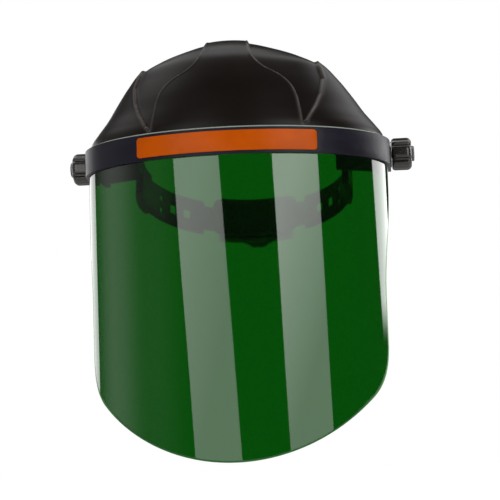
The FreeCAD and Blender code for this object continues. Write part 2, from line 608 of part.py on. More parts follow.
def make_housing():
    h, b = HOUSING_HALF_HEIGHT, HOUSING_SPREAD
    back = BACK_PLATE_R + BACK_PLATE_THICK + LAID
    wall = arc_plate(HOUSING_R, HOUSING_OUT_R, -b, b, -h, h)
    rims = [arc_plate(back, HOUSING_OUT_R, -b, b, z, z + HOUSING_RIM) for z in (-h, h - HOUSING_RIM)]
    bosses = [radial_rod(BOSS_RADIUS, t, z, back, HOUSING_R + PAST) for t, z in screw_places()]
    seat = rod(SEAT_RADIUS, V(0, REAR_CENTRE_Y + HOUSING_R + PAST, 0), V(0, REAR_CENTRE_Y + SEAT_R, 0))
    housing = wall.fuse(rims + bosses + [seat])
    for t, z in screw_places():
        sink = HOUSING_OUT_R - SCREW_SINK - LAID
        housing = housing.cut(radial_rod(SCREW_RADIUS + FIT, t, z, back - PAST, HOUSING_OUT_R + PAST))
        housing = housing.cut(radial_rod(SCREW_HEAD_RADIUS + 2 * LAID, t, z, sink, HOUSING_OUT_R + 4 * PAST))
    bore = rod(SHAFT_RADIUS + FIT, V(0, REAR_CENTRE_Y + HOUSING_R - 3 * PAST, 0), V(0, DIAL_Y + PAST, 0))
    return housing.cut(bore).removeSplitter()


def make_back_plate():
    h, b = HOUSING_HALF_HEIGHT, HOUSING_SPREAD
    plate = arc_plate(BACK_PLATE_R, BACK_PLATE_R + BACK_PLATE_THICK, -b, b, -h, h)
    for t, z in screw_places():
        plate = plate.cut(radial_rod(SCREW_RADIUS + FIT, t, z, BACK_PLATE_R - 3 * PAST, HOUSING_R))
    bore_start, bore_end = REAR_CENTRE_Y + BACK_PLATE_R - 3 * PAST, REAR_CENTRE_Y + HOUSING_R
    return plate.cut(rod(TRUNNION_RADIUS + FIT, V(0, bore_start, 0), V(0, bore_end, 0)))


def make_housing_screws():
    head_in, head_out = HOUSING_OUT_R - SCREW_SINK, HOUSING_OUT_R + 2 * LAID
    screws = []
    for t, z in screw_places():
        head = radial_rod(SCREW_HEAD_RADIUS, t, z, head_in, head_out)
        screws.append(fused(head, radial_rod(SCREW_RADIUS, t, z, BACK_PLATE_R + CLEAR, head_in + LAID)))
    return Part.makeCompound(screws)


def make_pinion():
    y0 = REAR_CENTRE_Y + BACK_PLATE_R + BACK_PLATE_THICK + CLEAR
    y1 = REAR_CENTRE_Y + HOUSING_R - CLEAR
    root = PINION_PITCH - TOOTH_ROOT + LAID
    gear = rod(root, V(0, y0, 0), V(0, y1, 0))
    inner, outer = root - PAST / 2, PINION_PITCH + TOOTH_TIP
    w_in, w_out = tooth_half_width(-TOOTH_ROOT), tooth_half_width(TOOTH_TIP)
    profile = [V(-w_in, y0, inner), V(w_in, y0, inner), V(w_out, y0, outer), V(-w_out, y0, outer)]
    for k in range(PINION_TEETH):
        tooth = prism(profile, Y * (y1 - y0))
        tooth.rotate(ORIGIN, Y, 360.0 * k / PINION_TEETH)
        gear = gear.fuse(tooth)
    trunnion = rod(TRUNNION_RADIUS, V(0, REAR_CENTRE_Y + BACK_PLATE_R + 2 * LAID, 0), V(0, y0 + PAST, 0))
    shaft = rod(SHAFT_RADIUS, V(0, y1 - PAST, 0), V(0, SHAFT_END_Y, 0))
    thread_start, thread_end = V(0, SHAFT_END_Y - KNOB_SCREW_THREAD, 0), V(0, SHAFT_END_Y + PAST, 0)
    thread = rod(KNOB_SCREW_RADIUS + FIT, thread_start, thread_end)
    return gear.fuse([trunnion, shaft]).cut(thread).removeSplitter()


def make_ratchet_knob():
    y0, y1 = DIAL_Y, DIAL_OUT_Y
    knob = rod(RATCHET_KNOB_RADIUS, V(0, y0, 0), V(0, y1, 0))
    knob = knob.makeFillet(DIAL_ROUND, end_circles(knob, y1, 1))
    for k in range(RATCHET_KNOB_LOBES):
        x, z = on_orbit(DIAL_FLUTE_ORBIT, 360 * k / RATCHET_KNOB_LOBES)
        knob = knob.cut(rod(DIAL_FLUTE_RADIUS, V(x, y0 + 2 * PAST, z), V(x, y1 + PAST, z)))
    hollow_end = y0 + KNOB_HOLLOW_DEPTH
    knob = knob.cut(rod(KNOB_HOLLOW_RADIUS, V(0, y0 - PAST, 0), V(0, hollow_end, 0)))
    for k in range(CLICK_TEETH):
        x, z = on_orbit(KNOB_HOLLOW_RADIUS, 360 * k / CLICK_TEETH)
        knob = knob.cut(rod(CLICK_RADIUS, V(x, y0 - PAST, z), V(x, hollow_end, z)))
    knob = knob.cut(rod(SHAFT_RADIUS + FIT, V(0, y0 - PAST, 0), V(0, SHAFT_END_Y + LAID, 0)))
    knob = knob.cut(rod(KNOB_SCREW_RADIUS + FIT, V(0, y0, 0), V(0, y1 + PAST, 0)))
    sink = rod(KNOB_SCREW_HEAD + 2 * LAID, V(0, y1 - KNOB_SCREW_SINK, 0), V(0, y1 + PAST, 0))
    return knob.cut(sink).removeSplitter()


def make_knob_screw():
    seat = DIAL_OUT_Y - KNOB_SCREW_SINK + LAID
    head = rod(KNOB_SCREW_HEAD, V(0, seat, 0), V(0, DIAL_OUT_Y - PAST, 0))
    return fused(head, rod(KNOB_SCREW_RADIUS, V(0, DIAL_Y + 2 * PAST, 0), V(0, seat, 0)))


def make_click_spring():
    """Ring round the shaft, laid on the housing's seat, with two noses towards the click teeth."""
    y0, y1 = DIAL_Y - CLEAR + LAID, DIAL_Y + KNOB_HOLLOW_DEPTH - SPRING_SHORT
    hole = rod(SPRING_RADIUS - SPRING_WIRE, V(0, y0 - PAST, 0), V(0, y1 + PAST, 0))
    ring = rod(SPRING_RADIUS, V(0, y0, 0), V(0, y1, 0)).cut(hole)
    noses = []
    for way in (-1, 1):
        low, high = sorted((way * (SPRING_RADIUS - SPRING_WIRE / 2), way * SPRING_NOSE_ORBIT))
        noses.append(box(-SPRING_NOSE_RADIUS, SPRING_NOSE_RADIUS, y0, y1, low, high))
        tip = V(0, y0, way * SPRING_NOSE_ORBIT)
        noses.append(rod(SPRING_NOSE_RADIUS, tip, tip + Y * (y1 - y0)))
    return fused(ring, *noses)


def make_nape_pad():
    r1 = BACK_PLATE_R - CLEAR
    b, h = NAPE_PAD_SPREAD, NAPE_PAD_HALF_HEIGHT
    return arc_plate(r1 - NAPE_PAD_THICK, r1, -b, b, -h, h)


# ---- top strap --------------------------------------------------------------
def arch(half_width, rise, x0, x1):
    """Arched strip over the head between two X planes."""
    y0, y1 = TOP_STRAP_Y - TOP_STRAP_BREADTH / 2, TOP_STRAP_Y + TOP_STRAP_BREADTH / 2

    def solid(a, b):
        a, b = max(a, b), min(a, b)
        ellipse = Part.Ellipse(V(0, y0, TOP_STRAP_FOOT_Z), a, b)
        face = Part.Face(Part.Wire(ellipse.toShape()))
        face.rotate(V(0, y0, TOP_STRAP_FOOT_Z), X, 90)
        return face.extrude(Y * (y1 - y0))

    ring = solid(half_width, rise).cut(solid(half_width - TOP_STRAP_THICK, rise - TOP_STRAP_THICK))
    return ring.common(box(x0, x1, y0 - FAR, y1 + FAR, TOP_STRAP_FOOT_Z, TOP_STRAP_TOP + PAST))


def make_top_strap(lower):
    """The +X half; the lower half lies under the upper one where they lap."""
    drop = TOP_STRAP_THICK + 2 * LAID if lower else 0.0
    strap = arch(TOP_STRAP_HALF_WIDTH, TOP_STRAP_TOP - TOP_STRAP_FOOT_Z - drop, -TOP_STRAP_LAP, FAR)
    for x in (-PEG_SPACING, 0, PEG_SPACING):
        low, high = V(x, TOP_STRAP_Y, TOP_STRAP_TOP / 2), V(x, TOP_STRAP_Y, TOP_STRAP_TOP + PAST)
        strap = strap.cut(rod(PEG_RADIUS + FIT, low, high))
    return strap.cut(side_rod(PEG_RADIUS + FIT, TOP_STRAP_HALF_WIDTH / 2, FAR, TOP_STRAP_Y, SIDE_STUD_Z))


def make_top_strap_peg():
    under = TOP_STRAP_TOP - 2 * TOP_STRAP_THICK - 5 * LAID
    over = TOP_STRAP_TOP + 2 * LAID

    def upright_rod(radius, z0, z1):
        return rod(radius, V(0, TOP_STRAP_Y, z0), V(0, TOP_STRAP_Y, z1))

    foot = upright_rod(PEG_FOOT_RADIUS, under - PEG_FOOT_THICK, under)
    head = upright_rod(PEG_HEAD_RADIUS, over, over + PEG_HEAD_THICK)
    return fused(foot, upright_rod(PEG_RADIUS, under - CLEAR, over + CLEAR + LAID), head)


def make_top_strap_studs():
    x0, x1 = RING_RADIUS - 2 * LAID, TOP_STRAP_HALF_WIDTH + SIDE_STUD_PROUD
    stud = side_rod(PEG_RADIUS, x0, x1, TOP_STRAP_Y, SIDE_STUD_Z)
    face = x1 + 2 * LAID
    head = side_rod(SIDE_STUD_HEAD_RADIUS, face - SIDE_STUD_HEAD_THICK, face, TOP_STRAP_Y, SIDE_STUD_Z)
    return Part.makeCompound(list(both_sides(fused(stud, head))))


# ---- write the parts --------------------------------------------------------
def main():
    os.makedirs("parts", exist_ok=True)
    save("crown_shell", make_crown_shell())
    save("visor_band", make_visor_band())
    save("front_insert", insert_block(0.0, INSERT_PROUD))
    save("visor", make_visor())
    save("visor_snap_studs", make_studs())
    for name, make in (("pivot_bolt", make_pivot_bolt), ("pivot_bush", make_pivot_bush),
                       ("spring_washer", make_spring_washer), ("stop_disc", make_stop_disc),
                       ("pivot_knob", make_pivot_knob), ("knob_nut", make_knob_nut),
                       ("knob_cap", make_knob_cap)):
        right, left = both_sides(make())
        save(name + "_right", right)
        save(name + "_left", left)
    save("headband", make_headband())
    save("sweatband", make_sweatband())
    save("rack_strap_right", dropped(make_rack_strap(INNER_STRAP_R, 1)))
    save("rack_strap_left", dropped(mirrored(make_rack_strap(OUTER_STRAP_R, -1))))
    for name, make in (("ratchet_housing", make_housing), ("ratchet_back_plate", make_back_plate),
                       ("housing_screws", make_housing_screws), ("ratchet_pinion", make_pinion),
                       ("ratchet_knob", make_ratchet_knob), ("ratchet_knob_screw", make_knob_screw),
                       ("click_spring", make_click_spring), ("nape_pad", make_nape_pad)):
        save(name, dropped(make()))
    save("top_strap_right", make_top_strap(False))
    save("top_strap_left", mirrored(make_top_strap(True)))
    save("top_strap_peg", make_top_strap_peg())
    save("top_strap_studs", make_top_strap_studs())


main()
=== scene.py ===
from math import cos, pi, radians, sin

import bmesh
import bpy
import numpy as np
from bpy.props import FloatProperty, FloatVectorProperty, IntProperty, PointerProperty
from bpy.types import Operator, Panel, PropertyGroup
from mathutils import Matrix, Vector
from mathutils.geometry import delaunay_2d_cdt


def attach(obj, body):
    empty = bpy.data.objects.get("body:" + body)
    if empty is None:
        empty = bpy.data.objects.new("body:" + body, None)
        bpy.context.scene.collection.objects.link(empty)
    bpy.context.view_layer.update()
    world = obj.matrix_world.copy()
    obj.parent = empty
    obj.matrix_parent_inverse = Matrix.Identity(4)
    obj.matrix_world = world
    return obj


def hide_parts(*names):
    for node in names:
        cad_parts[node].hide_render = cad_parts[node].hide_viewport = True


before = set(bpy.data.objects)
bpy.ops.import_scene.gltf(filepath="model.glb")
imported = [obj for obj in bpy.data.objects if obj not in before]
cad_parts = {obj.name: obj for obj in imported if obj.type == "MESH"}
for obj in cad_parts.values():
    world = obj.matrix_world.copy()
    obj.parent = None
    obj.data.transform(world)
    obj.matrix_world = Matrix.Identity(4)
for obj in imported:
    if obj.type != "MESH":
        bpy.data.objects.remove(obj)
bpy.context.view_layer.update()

bl_info = {
    "name": "Face shield",
    "version": (1, 0, 0),
    "blender": (4, 5, 0),
    "location": "3D View > Sidebar > Face shield",
    "description": "Builds the finish of a face shield round its engineering model",
    "category": "Object",
}

MM = 0.001
SHARP = 35.0            # degrees between faces, from which an edge stays sharp


# ---- small tools ----
def linear(code):
    """sRGB hex code to linear RGBA."""
    channels = [int(code[i:i + 2], 16) / 255 for i in (1, 3, 5)]
    return tuple(c / 12.92 if c <= 0.04045 else ((c + 0.055) / 1.055) ** 2.4 for c in channels) + (1.0,)


def hermite(t, h, start, end, slope, next_slope):
    """Cubic from start to end over the step h, at the share t of it, with set slopes at both ends."""
    return ((2 * t**3 - 3 * t**2 + 1) * start + (t**3 - 2 * t**2 + t) * h * slope
            + (3 * t**2 - 2 * t**3) * end + (t**3 - t**2) * h * next_slope)


def lengths(path):
    """Length along a path, from its start to each of its points."""
    return np.concatenate(([0.0], np.cumsum(np.hypot(*np.diff(path[:, :2], axis=0).T))))


def spaced(path, count):
    """A flat path's line as count points, evenly apart."""
    at = lengths(path)
    t = np.linspace(0, at[-1], count)
    return np.column_stack((np.interp(t, at, path[:, 0]), np.interp(t, at, path[:, 1])))


def table_curve(rows, count):
    """Smooth curve through the rows of a table, at count places spread evenly by length."""
    rows = np.array(rows, float)
    at = lengths(rows)
    slope = np.gradient(rows, at, axis=0)
    t = np.linspace(0.0, at[-1], count)
    k = np.clip(np.searchsorted(at, t, side="right") - 1, 0, len(at) - 2)
    h = (at[k + 1] - at[k])[:, None]
    return hermite((t - at[k])[:, None] / h, h, rows[k], rows[k + 1], slope[k], slope[k + 1])


def ease(x):
    x = np.clip(x, 0.0, 1.0)
    return x * x * (3 - 2 * x)


def make_object(name, verts, faces, edges=()):
    """A mesh object from points in millimetres."""
    mesh = bpy.data.meshes.new(name)
    mesh.from_pydata([tuple(float(c) * MM for c in v) for v in verts], edges, faces)
    obj = bpy.data.objects.new(name, mesh)
    bpy.context.scene.collection.objects.link(obj)
    return obj


def tidy_mesh(obj, merge, sharp):
    """Merge doubled points, turn all faces outwards and keep only real edges sharp."""
    bm = bmesh.new()
    bm.from_mesh(obj.data)
    bmesh.ops.remove_doubles(bm, verts=bm.verts, dist=merge)
    bmesh.ops.dissolve_degenerate(bm, edges=bm.edges, dist=merge)
    bmesh.ops.recalc_face_normals(bm, faces=bm.faces)
    bm.to_mesh(obj.data)
    bm.free()
    shade(obj, sharp)


def shade(obj, sharp):
    obj.data.shade_smooth()
    obj.data.set_sharp_from_angle(angle=radians(sharp))


def baked(obj):
    """Replace an object's mesh by its evaluated one and drop the modifiers."""
    graph = bpy.context.evaluated_depsgraph_get()
    mesh = bpy.data.meshes.new_from_object(obj.evaluated_get(graph))
    obj.modifiers.clear()
    obj.data = mesh
    mesh.name = obj.name
    return obj


def finish_piece(obj, body, material, slot, *nodes):
    """Give a piece its material and body, and hide the frame nodes it stands for; slot is not used."""
    obj.data.materials.clear()
    obj.data.materials.append(material)
    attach(obj, body)
    if nodes:
        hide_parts(*nodes)
    return obj


def round_edges(obj, name, width, segments, corner):
    """Bevel the edges sharper than corner degrees."""
    bevel = obj.modifiers.new(name, "BEVEL")
    bevel.width = width
    bevel.segments = segments
    bevel.limit_method = "ANGLE"
    bevel.angle_limit = radians(corner)


def thicken(obj, thickness):
    """Give a surface its wall, inwards."""
    wall = obj.modifiers.new("wall", "SOLIDIFY")
    wall.thickness = thickness
    wall.offset = -1.0


def softened(node, name, width, segments):
    """A merged copy of a frame node with its hard edges rounded by width, in millimetres."""
    obj = bpy.data.objects.new(name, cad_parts[node].data.copy())
    bpy.context.scene.collection.objects.link(obj)
    bm = bmesh.new()
    bm.from_mesh(obj.data)
    bmesh.ops.remove_doubles(bm, verts=bm.verts, dist=1e-6)
    bmesh.ops.dissolve_limit(bm, angle_limit=radians(0.4), verts=bm.verts, edges=bm.edges)
    bm.to_mesh(obj.data)
    bm.free()
    round_edges(obj, "round", width * MM, segments, SHARP)
    baked(obj)
    shade(obj, SHARP)
    return obj


def rounded_node(node, body, material, slot, width, name=None, segments=2):
    """Show one frame node in its CAD shape, its edges rounded by width, in millimetres."""
    finish_piece(softened(node, name or f"{node}_piece", width, segments), body, material, slot, node)


def grid_faces(rows, columns, first=0, wrap=False):
    """Quads of a rows by columns grid of points."""
    faces = []
    last = columns if wrap else columns - 1
    for r in range(rows - 1):
        for c in range(last):
            d = (c + 1) % columns
            a, b = first + r * columns, first + (r + 1) * columns
            faces.append((a + c, a + d, b + d, b + c))
    return faces


def turned(name, rings, count, radius_at=None):
    """Closed shape turned about X. rings are (along, radius, weight of radius_at)."""
    angles = np.arange(count) * 2 * pi / count
    verts = []
    for along, radius, weight in rings:
        r = radius + (weight * radius_at(angles) if radius_at else 0 * angles)
        for a, ra in zip(angles, r):
            verts.append((along, ra * cos(a), ra * sin(a)))
    obj = make_object(name, verts, grid_faces(len(rings), count, wrap=True))
    tidy_mesh(obj, merge=2e-6, sharp=SHARP)
    return obj


def moved(obj, matrix):
    obj.data.transform(matrix)
    return obj


def facing_out(side):
    """From the side at +X to the one at side, 1 or -1."""
    return Matrix.Rotation(pi if side < 0 else 0.0, 4, "Z")


def rear_matrix():
    """From the level rear assembly to its place, turned down towards the nape."""
    return Matrix.Rotation(-radians(NAPE_DROP), 4, "X")


# ---- Geometry Nodes trees ----
def new_tree(name, sockets):
    """A tree with named inputs, given as (name, socket type), and the outputs of its input node."""
    tree = bpy.data.node_groups.new(name, "GeometryNodeTree")
    tree.interface.new_socket(name="Geometry", in_out="OUTPUT", socket_type="NodeSocketGeometry")
    ends = ("Geometry", "NodeSocketGeometry"), ("Material", "NodeSocketMaterial")
    for label, kind in (ends[0], *sockets, ends[1]):
        tree.interface.new_socket(name=label, in_out="INPUT", socket_type=kind)
    return tree, add(tree, "NodeGroupInput").outputs


def close_tree(tree, instances, source):
    """Instances made real, shaded smooth and given the material."""
    real = add(tree, "GeometryNodeRealizeInstances", {"Geometry": instances})
    smooth = add(tree, "GeometryNodeSetShadeSmooth", {0: real.outputs[0]})
    final = add(tree, "GeometryNodeSetMaterial",
                {"Geometry": smooth.outputs[0], "Material": source["Material"]})
    add(tree, "NodeGroupOutput", {"Geometry": final.outputs[0]})
    return tree


def stitch_tree():
    """Stitches of one length, a set distance apart, laid along a path."""
    tree, source = new_tree("stitches", (("Spacing", "NodeSocketFloat"), ("Length", "NodeSocketFloat"),
                                         ("Thread Radius", "NodeSocketFloat")))
    path = add(tree, "GeometryNodeMeshToCurve", {"Mesh": source["Geometry"]})
    even = add(tree, "GeometryNodeResampleCurve", {"Curve": path.outputs[0], "Length": source["Spacing"]},
               mode="LENGTH")
    along = add(tree, "FunctionNodeAlignRotationToVector",
                {"Vector": add(tree, "GeometryNodeInputTangent").outputs[0]}, axis="Z")
    bead = add(tree, "GeometryNodeMeshUVSphere", {"Segments": 8, "Rings": 6, "Radius": 1.0})
    half = maths(tree, "MULTIPLY", source["Length"], 0.5)
    size = add(tree, "ShaderNodeCombineXYZ", {"X": source["Thread Radius"], "Y": source["Thread Radius"],
                                              "Z": half})
    placed = add(tree, "GeometryNodeInstanceOnPoints", {
        "Points": even.outputs[0], "Instance": bead.outputs["Mesh"],
        "Rotation": along.outputs[0], "Scale": size.outputs[0]})
    return close_tree(tree, placed.outputs[0], source)


def repeat_tree():
    """One item on every point, its Z axis along the point's facing attribute."""
    tree, source = new_tree("repeats", (("Item", "NodeSocketObject"), ("Size", "NodeSocketFloat")))
    item = add(tree, "GeometryNodeObjectInfo", {"Object": source["Item"]})
    facing = add(tree, "GeometryNodeInputNamedAttribute", {"Name": "facing"}, data_type="FLOAT_VECTOR")
    turn = add(tree, "FunctionNodeAlignRotationToVector", {"Vector": facing.outputs[0]}, axis="Z")
    placed = add(tree, "GeometryNodeInstanceOnPoints", {
        "Points": source["Geometry"], "Instance": item.outputs["Geometry"],
        "Rotation": turn.outputs[0], "Scale": source["Size"]})
    return close_tree(tree, placed.outputs[0], source)


def grown(obj, tree, **values):
    """Run a tree on an object with its inputs set by name, and keep the plain mesh."""
    modifier = obj.modifiers.new(tree.name, "NODES")
    modifier.node_group = tree
    for socket in tree.interface.items_tree:
        label = socket.name.replace(" ", "_")
        if socket.in_out == "INPUT" and label in values:
            modifier[socket.identifier] = values[label]
    return baked(obj)


def repeated(name, item, points, facings, size, material):
    """Copies of a small item, standing on points in millimetres and facing outwards."""
    obj = make_object(name, points, [])
    facing = obj.data.attributes.new("facing", "FLOAT_VECTOR", "POINT")
    facing.data.foreach_set("vector", np.array(facings, float).ravel())
    grown(obj, repeat_tree(), Item=item, Size=size, Material=material)
    bpy.data.objects.remove(item)
    return obj


def stitched(name, paths, settings, material):
    """Rows of stitches along paths in millimetres."""
    verts, edges = [], []
    for path in paths:
        first = len(verts)
        verts += list(path)
        edges += [(first + k, first + k + 1) for k in range(len(path) - 1)]
    obj = make_object(name, verts, [], edges)
    return grown(obj, stitch_tree(), Spacing=settings.stitch_spacing, Length=settings.stitch_length,
                 Thread_Radius=settings.thread_radius, Material=material)


# ---- shapes the pieces share, millimetres ----
HALF_WIDTH, FRONT_DEPTH, CENTRE_Y = 122.0, 92.0, -30.0     # plan of the band's outer face
VISOR_INSET = 2.7
SHEET_HALF, SHEET_DEPTH = HALF_WIDTH - VISOR_INSET, FRONT_DEPTH - VISOR_INSET
QUARTER = pi / 4 * (SHEET_HALF + SHEET_DEPTH)              # round a quarter of the sheet's plan
EAR_RADIUS = 13.2
VISOR_TOP, VISOR_BOTTOM, VISOR_BOTTOM_RADIUS = 7.2, -241.8, 140.0
EDGE_HIGH, EDGE_START = (-16.0, 6.6), (-16.0, -14.0)       # rear edge in side view, as (Y, Z)
EDGE_WAIST, EDGE_LOW = (-54.0, -74.0), (-54.0, -118.0)
EDGE_TURN, EDGE_POLE, EDGE_END = (-54.0, -156.0), (-54.0, -178.5), (-75.6, -197.0)
KNOB_START, KNOB_END = 123.1, 139.1                        # along the tilt axis
KNOB_RADIUS = 13.1
NAPE_DROP, REAR_CENTRE_Y = 16.0, 34.0

# level, half width, widest Y, front Y of the brow guard's outer sections
GUARD_ROWS = (
    (-11.5, 118.2, -30.0, -118.2), (-0.2, 118.2, -30.0, -118.2), (11.0, 116.6, -30.0, -118.0),
    (18.0, 111.6, -30.0, -117.0), (28.0, 103.5, -31.0, -115.0), (40.0, 95.0, -35.0, -112.0),
    (53.0, 84.5, -43.0, -107.0), (64.0, 73.0, -53.0, -101.5), (71.0, 58.0, -60.0, -96.0),
    (77.5, 37.0, -67.0, -89.0), (82.0, 18.0, -71.0, -81.0), (83.6, 0.0, -71.0, -71.5),
)
# level and distance from the middle of the two lines that bound a side panel
INNER_RIDGE = ((6, 58.5), (23, 55.5), (34, 53), (43, 48), (49.5, 40.5), (56, 29), (63, 22), (78, 16.5),
               (84, 15))
OUTER_RIDGE = ((6, 57.5), (13, 62.5), (24, 68.5), (35, 72.5), (49, 74.5), (60, 71), (66, 69), (71, 200))
REAR_FOOT_Y, REAR_FOOT_LEVEL, REAR_RUN, REAR_RISE = 6.0, -0.7, 77.0, 88.7   # guard's slanted rear edge
CHANNEL_DEPTH, RIDGE_WIDTH = 1.9, 1.6
BEAD_HEIGHT, BEAD_WIDTH = 0.4, 1.0
RELIEF_START, RELIEF_FADE = 6.5, 3.0                       # level where the relief starts, and its run-in

SHEET_STEP, FIELD_STEP = 1.6, 2.6                          # between points on the cut edge, and inside it
RIM_INSET = 1.4                                            # row of points just inside the cut edge
CUT_FRONT, CUT_REAR = (-95.0, 2.2), (-65.0, 4.4)           # Y, and how far in from the cut edge its painted glow reaches

FLUTE_WIDTH, LOBE_CROWN = 2.9, 0.35


# ---- brow guard ----
def guard_rear(level):
    """Y of the guard's free rear edge: a slanted line that swells into the ear round the pivot."""
    slant = REAR_FOOT_Y - REAR_RUN * (level - REAR_FOOT_LEVEL) / REAR_RISE
    ear = np.sqrt(np.clip(EAR_RADIUS ** 2 - level ** 2, 0, None))
    near = 1 / (1 + np.exp((level - EAR_RADIUS + 2.5) * 1.6))       # 1 beside the ear, 0 above it
    return np.maximum(slant, near * ear + (1 - near) * slant)


def guard_grid(rows, columns):
    """Outer surface without relief, as a rows by columns array of points."""
    table = table_curve(GUARD_ROWS, rows)
    share = np.linspace(-1, 1, columns)
    points = np.zeros((rows, columns, 3))
    for r, (level, a, widest, front) in enumerate(table):
        a, b = max(a, 0.05), max(widest - front, 0.05)
        rear = max(float(guard_rear(level)), widest)
        quarter = pi / 4 * (a + b)
        along = np.abs(share) * (quarter + rear - widest)
        turn = np.minimum(along / quarter, 1.0) * pi / 2
        points[r, :, 0] = np.sign(share) * a * np.sin(turn)
        points[r, :, 1] = widest - b * np.cos(turn) + np.maximum(along - quarter, 0)
        points[r, :, 2] = level
    return points


def grid_normals(points):
    """Outward unit normal at each point of the guard's grid."""
    across = np.gradient(points, axis=1)
    up = np.gradient(points, axis=0)
    normal = np.cross(across, up)
    length = np.linalg.norm(normal, axis=2, keepdims=True)
    return normal / np.maximum(length, 1e-9)


def through(z, rows):
    """Smooth curve through (z, x) rows, read at heights z."""
    at, x = np.array(rows, float).T
    slope = np.gradient(x, at)
    z = np.clip(z, at[0], at[-1])
    k = np.clip(np.searchsorted(at, z, side="right") - 1, 0, len(at) - 2)
    h = at[k + 1] - at[k]
    return hermite((z - at[k]) / h, h, x[k], x[k + 1], slope[k], slope[k + 1])


def guard_relief(points):
    """Height of the raised panels over the smooth dome, and how near each point is to a ridge."""
    x, z = np.abs(points[..., 0]), points[..., 2]
    inner, outer = through(z, INNER_RIDGE), np.interp(z, *zip(*OUTER_RIDGE))
    inside = ease((x - inner) / RIDGE_WIDTH)
    outside = ease((outer - x) / RIDGE_WIDTH)
    start = ease((z - RELIEF_START) / RELIEF_FADE)
    bead = np.exp(-((x - inner) / BEAD_WIDTH) ** 2) + np.exp(-((x - outer) / BEAD_WIDTH) ** 2)
    bead = bead * start
    return BEAD_HEIGHT * bead - CHANNEL_DEPTH * inside * outside * start, np.clip(bead, 0, 1)


def build_guard(settings):
    points = guard_grid(settings.rows, settings.columns)
    relief, ridge = guard_relief(points)
    points = points + grid_normals(points) * relief[..., None]
    rows, columns = points.shape[:2]
    obj = make_object("brow_guard", points.reshape(-1, 3), grid_faces(rows, columns))
    # the ridge share, kept for the painted highlight that the material lays along the ridges
    ridge_highlight = obj.data.attributes.new("ridge", "FLOAT", "POINT")
    ridge_highlight.data.foreach_set("value", ridge.ravel())
    tidy_mesh(obj, merge=2e-5, sharp=180)
    thicken(obj, settings.wall)
    round_edges(obj, "rim", settings.rim, 3, 60)
    baked(obj)
    tidy_mesh(obj, merge=5e-6, sharp=50)
    return obj


# ---- visor sheet ----
def bezier(a, b, c, t):
    """Quadratic curve from a to c with its pole at b."""
    a, b, c = np.array(a), np.array(b), np.array(c)
    t = np.asarray(t)[:, None]
    return (1 - t) ** 2 * a + 2 * t * (1 - t) * b + t ** 2 * c


def line(a, b, t):
    """Straight line from a to b."""
    return np.array(a) + np.asarray(t)[:, None] * (np.array(b) - np.array(a))


def visor_rear_edge(count):
    """Rear edge of the sheet in side view, from the top down to the end of its rounded corner."""
    t = np.linspace(0, 1, 80)
    path = np.vstack((line(EDGE_HIGH, EDGE_START, t), bezier(EDGE_START, EDGE_WAIST, EDGE_LOW, t)[1:],
                      line(EDGE_LOW, EDGE_TURN, t)[1:], bezier(EDGE_TURN, EDGE_POLE, EDGE_END, t)[1:]))
    return spaced(path, count)


def bend_length(y):
    """Length along the bent sheet from its middle to the place at y."""
    turn = np.arccos(np.clip((CENTRE_Y - y) / SHEET_DEPTH, -1, 1)) / (pi / 2)
    return np.where(y > CENTRE_Y, QUARTER + y - CENTRE_Y, QUARTER * turn)


def bent(flat):
    """Points of the flat sheet, as (length, level), on the bent sheet's outer face."""
    along, level = np.array(flat).T
    turn = np.minimum(np.abs(along) / QUARTER, 1) * pi / 2
    straight = np.maximum(np.abs(along) - QUARTER, 0)
    return np.column_stack((np.sign(along) * SHEET_HALF * np.sin(turn),
                            CENTRE_Y - SHEET_DEPTH * np.cos(turn) + straight, level))


def sheet_outline(step):
    """Closed outline of the flat sheet: rear edge, rounded corner and long bottom arc on each side."""
    edge = visor_rear_edge(400)
    side = np.column_stack((bend_length(edge[:, 0]), edge[:, 1]))
    reach = np.linspace(side[-1, 0], 0, 200)
    x = SHEET_HALF * np.sin(reach / QUARTER * pi / 2)
    low = VISOR_BOTTOM + VISOR_BOTTOM_RADIUS - np.sqrt(VISOR_BOTTOM_RADIUS ** 2 - x ** 2)
    low += (side[-1, 1] - low[0]) * (x / x[0]) ** 4        # runs into the rounded corner's end
    half = np.vstack((side, np.column_stack((reach, low))[1:]))
    half = spaced(half, int(lengths(half)[-1] / step) + 1)
    across = np.arange(-side[0, 0] + step, side[0, 0] - step / 2, step)
    top = np.column_stack((across, np.full(len(across), VISOR_TOP)))
    return np.vstack((half, half[-2::-1] * (-1, 1), top))


def gap_to(points, outline):
    """Distance of each point from the outline."""
    return np.array([np.hypot(*(outline - p).T).min() for p in points])


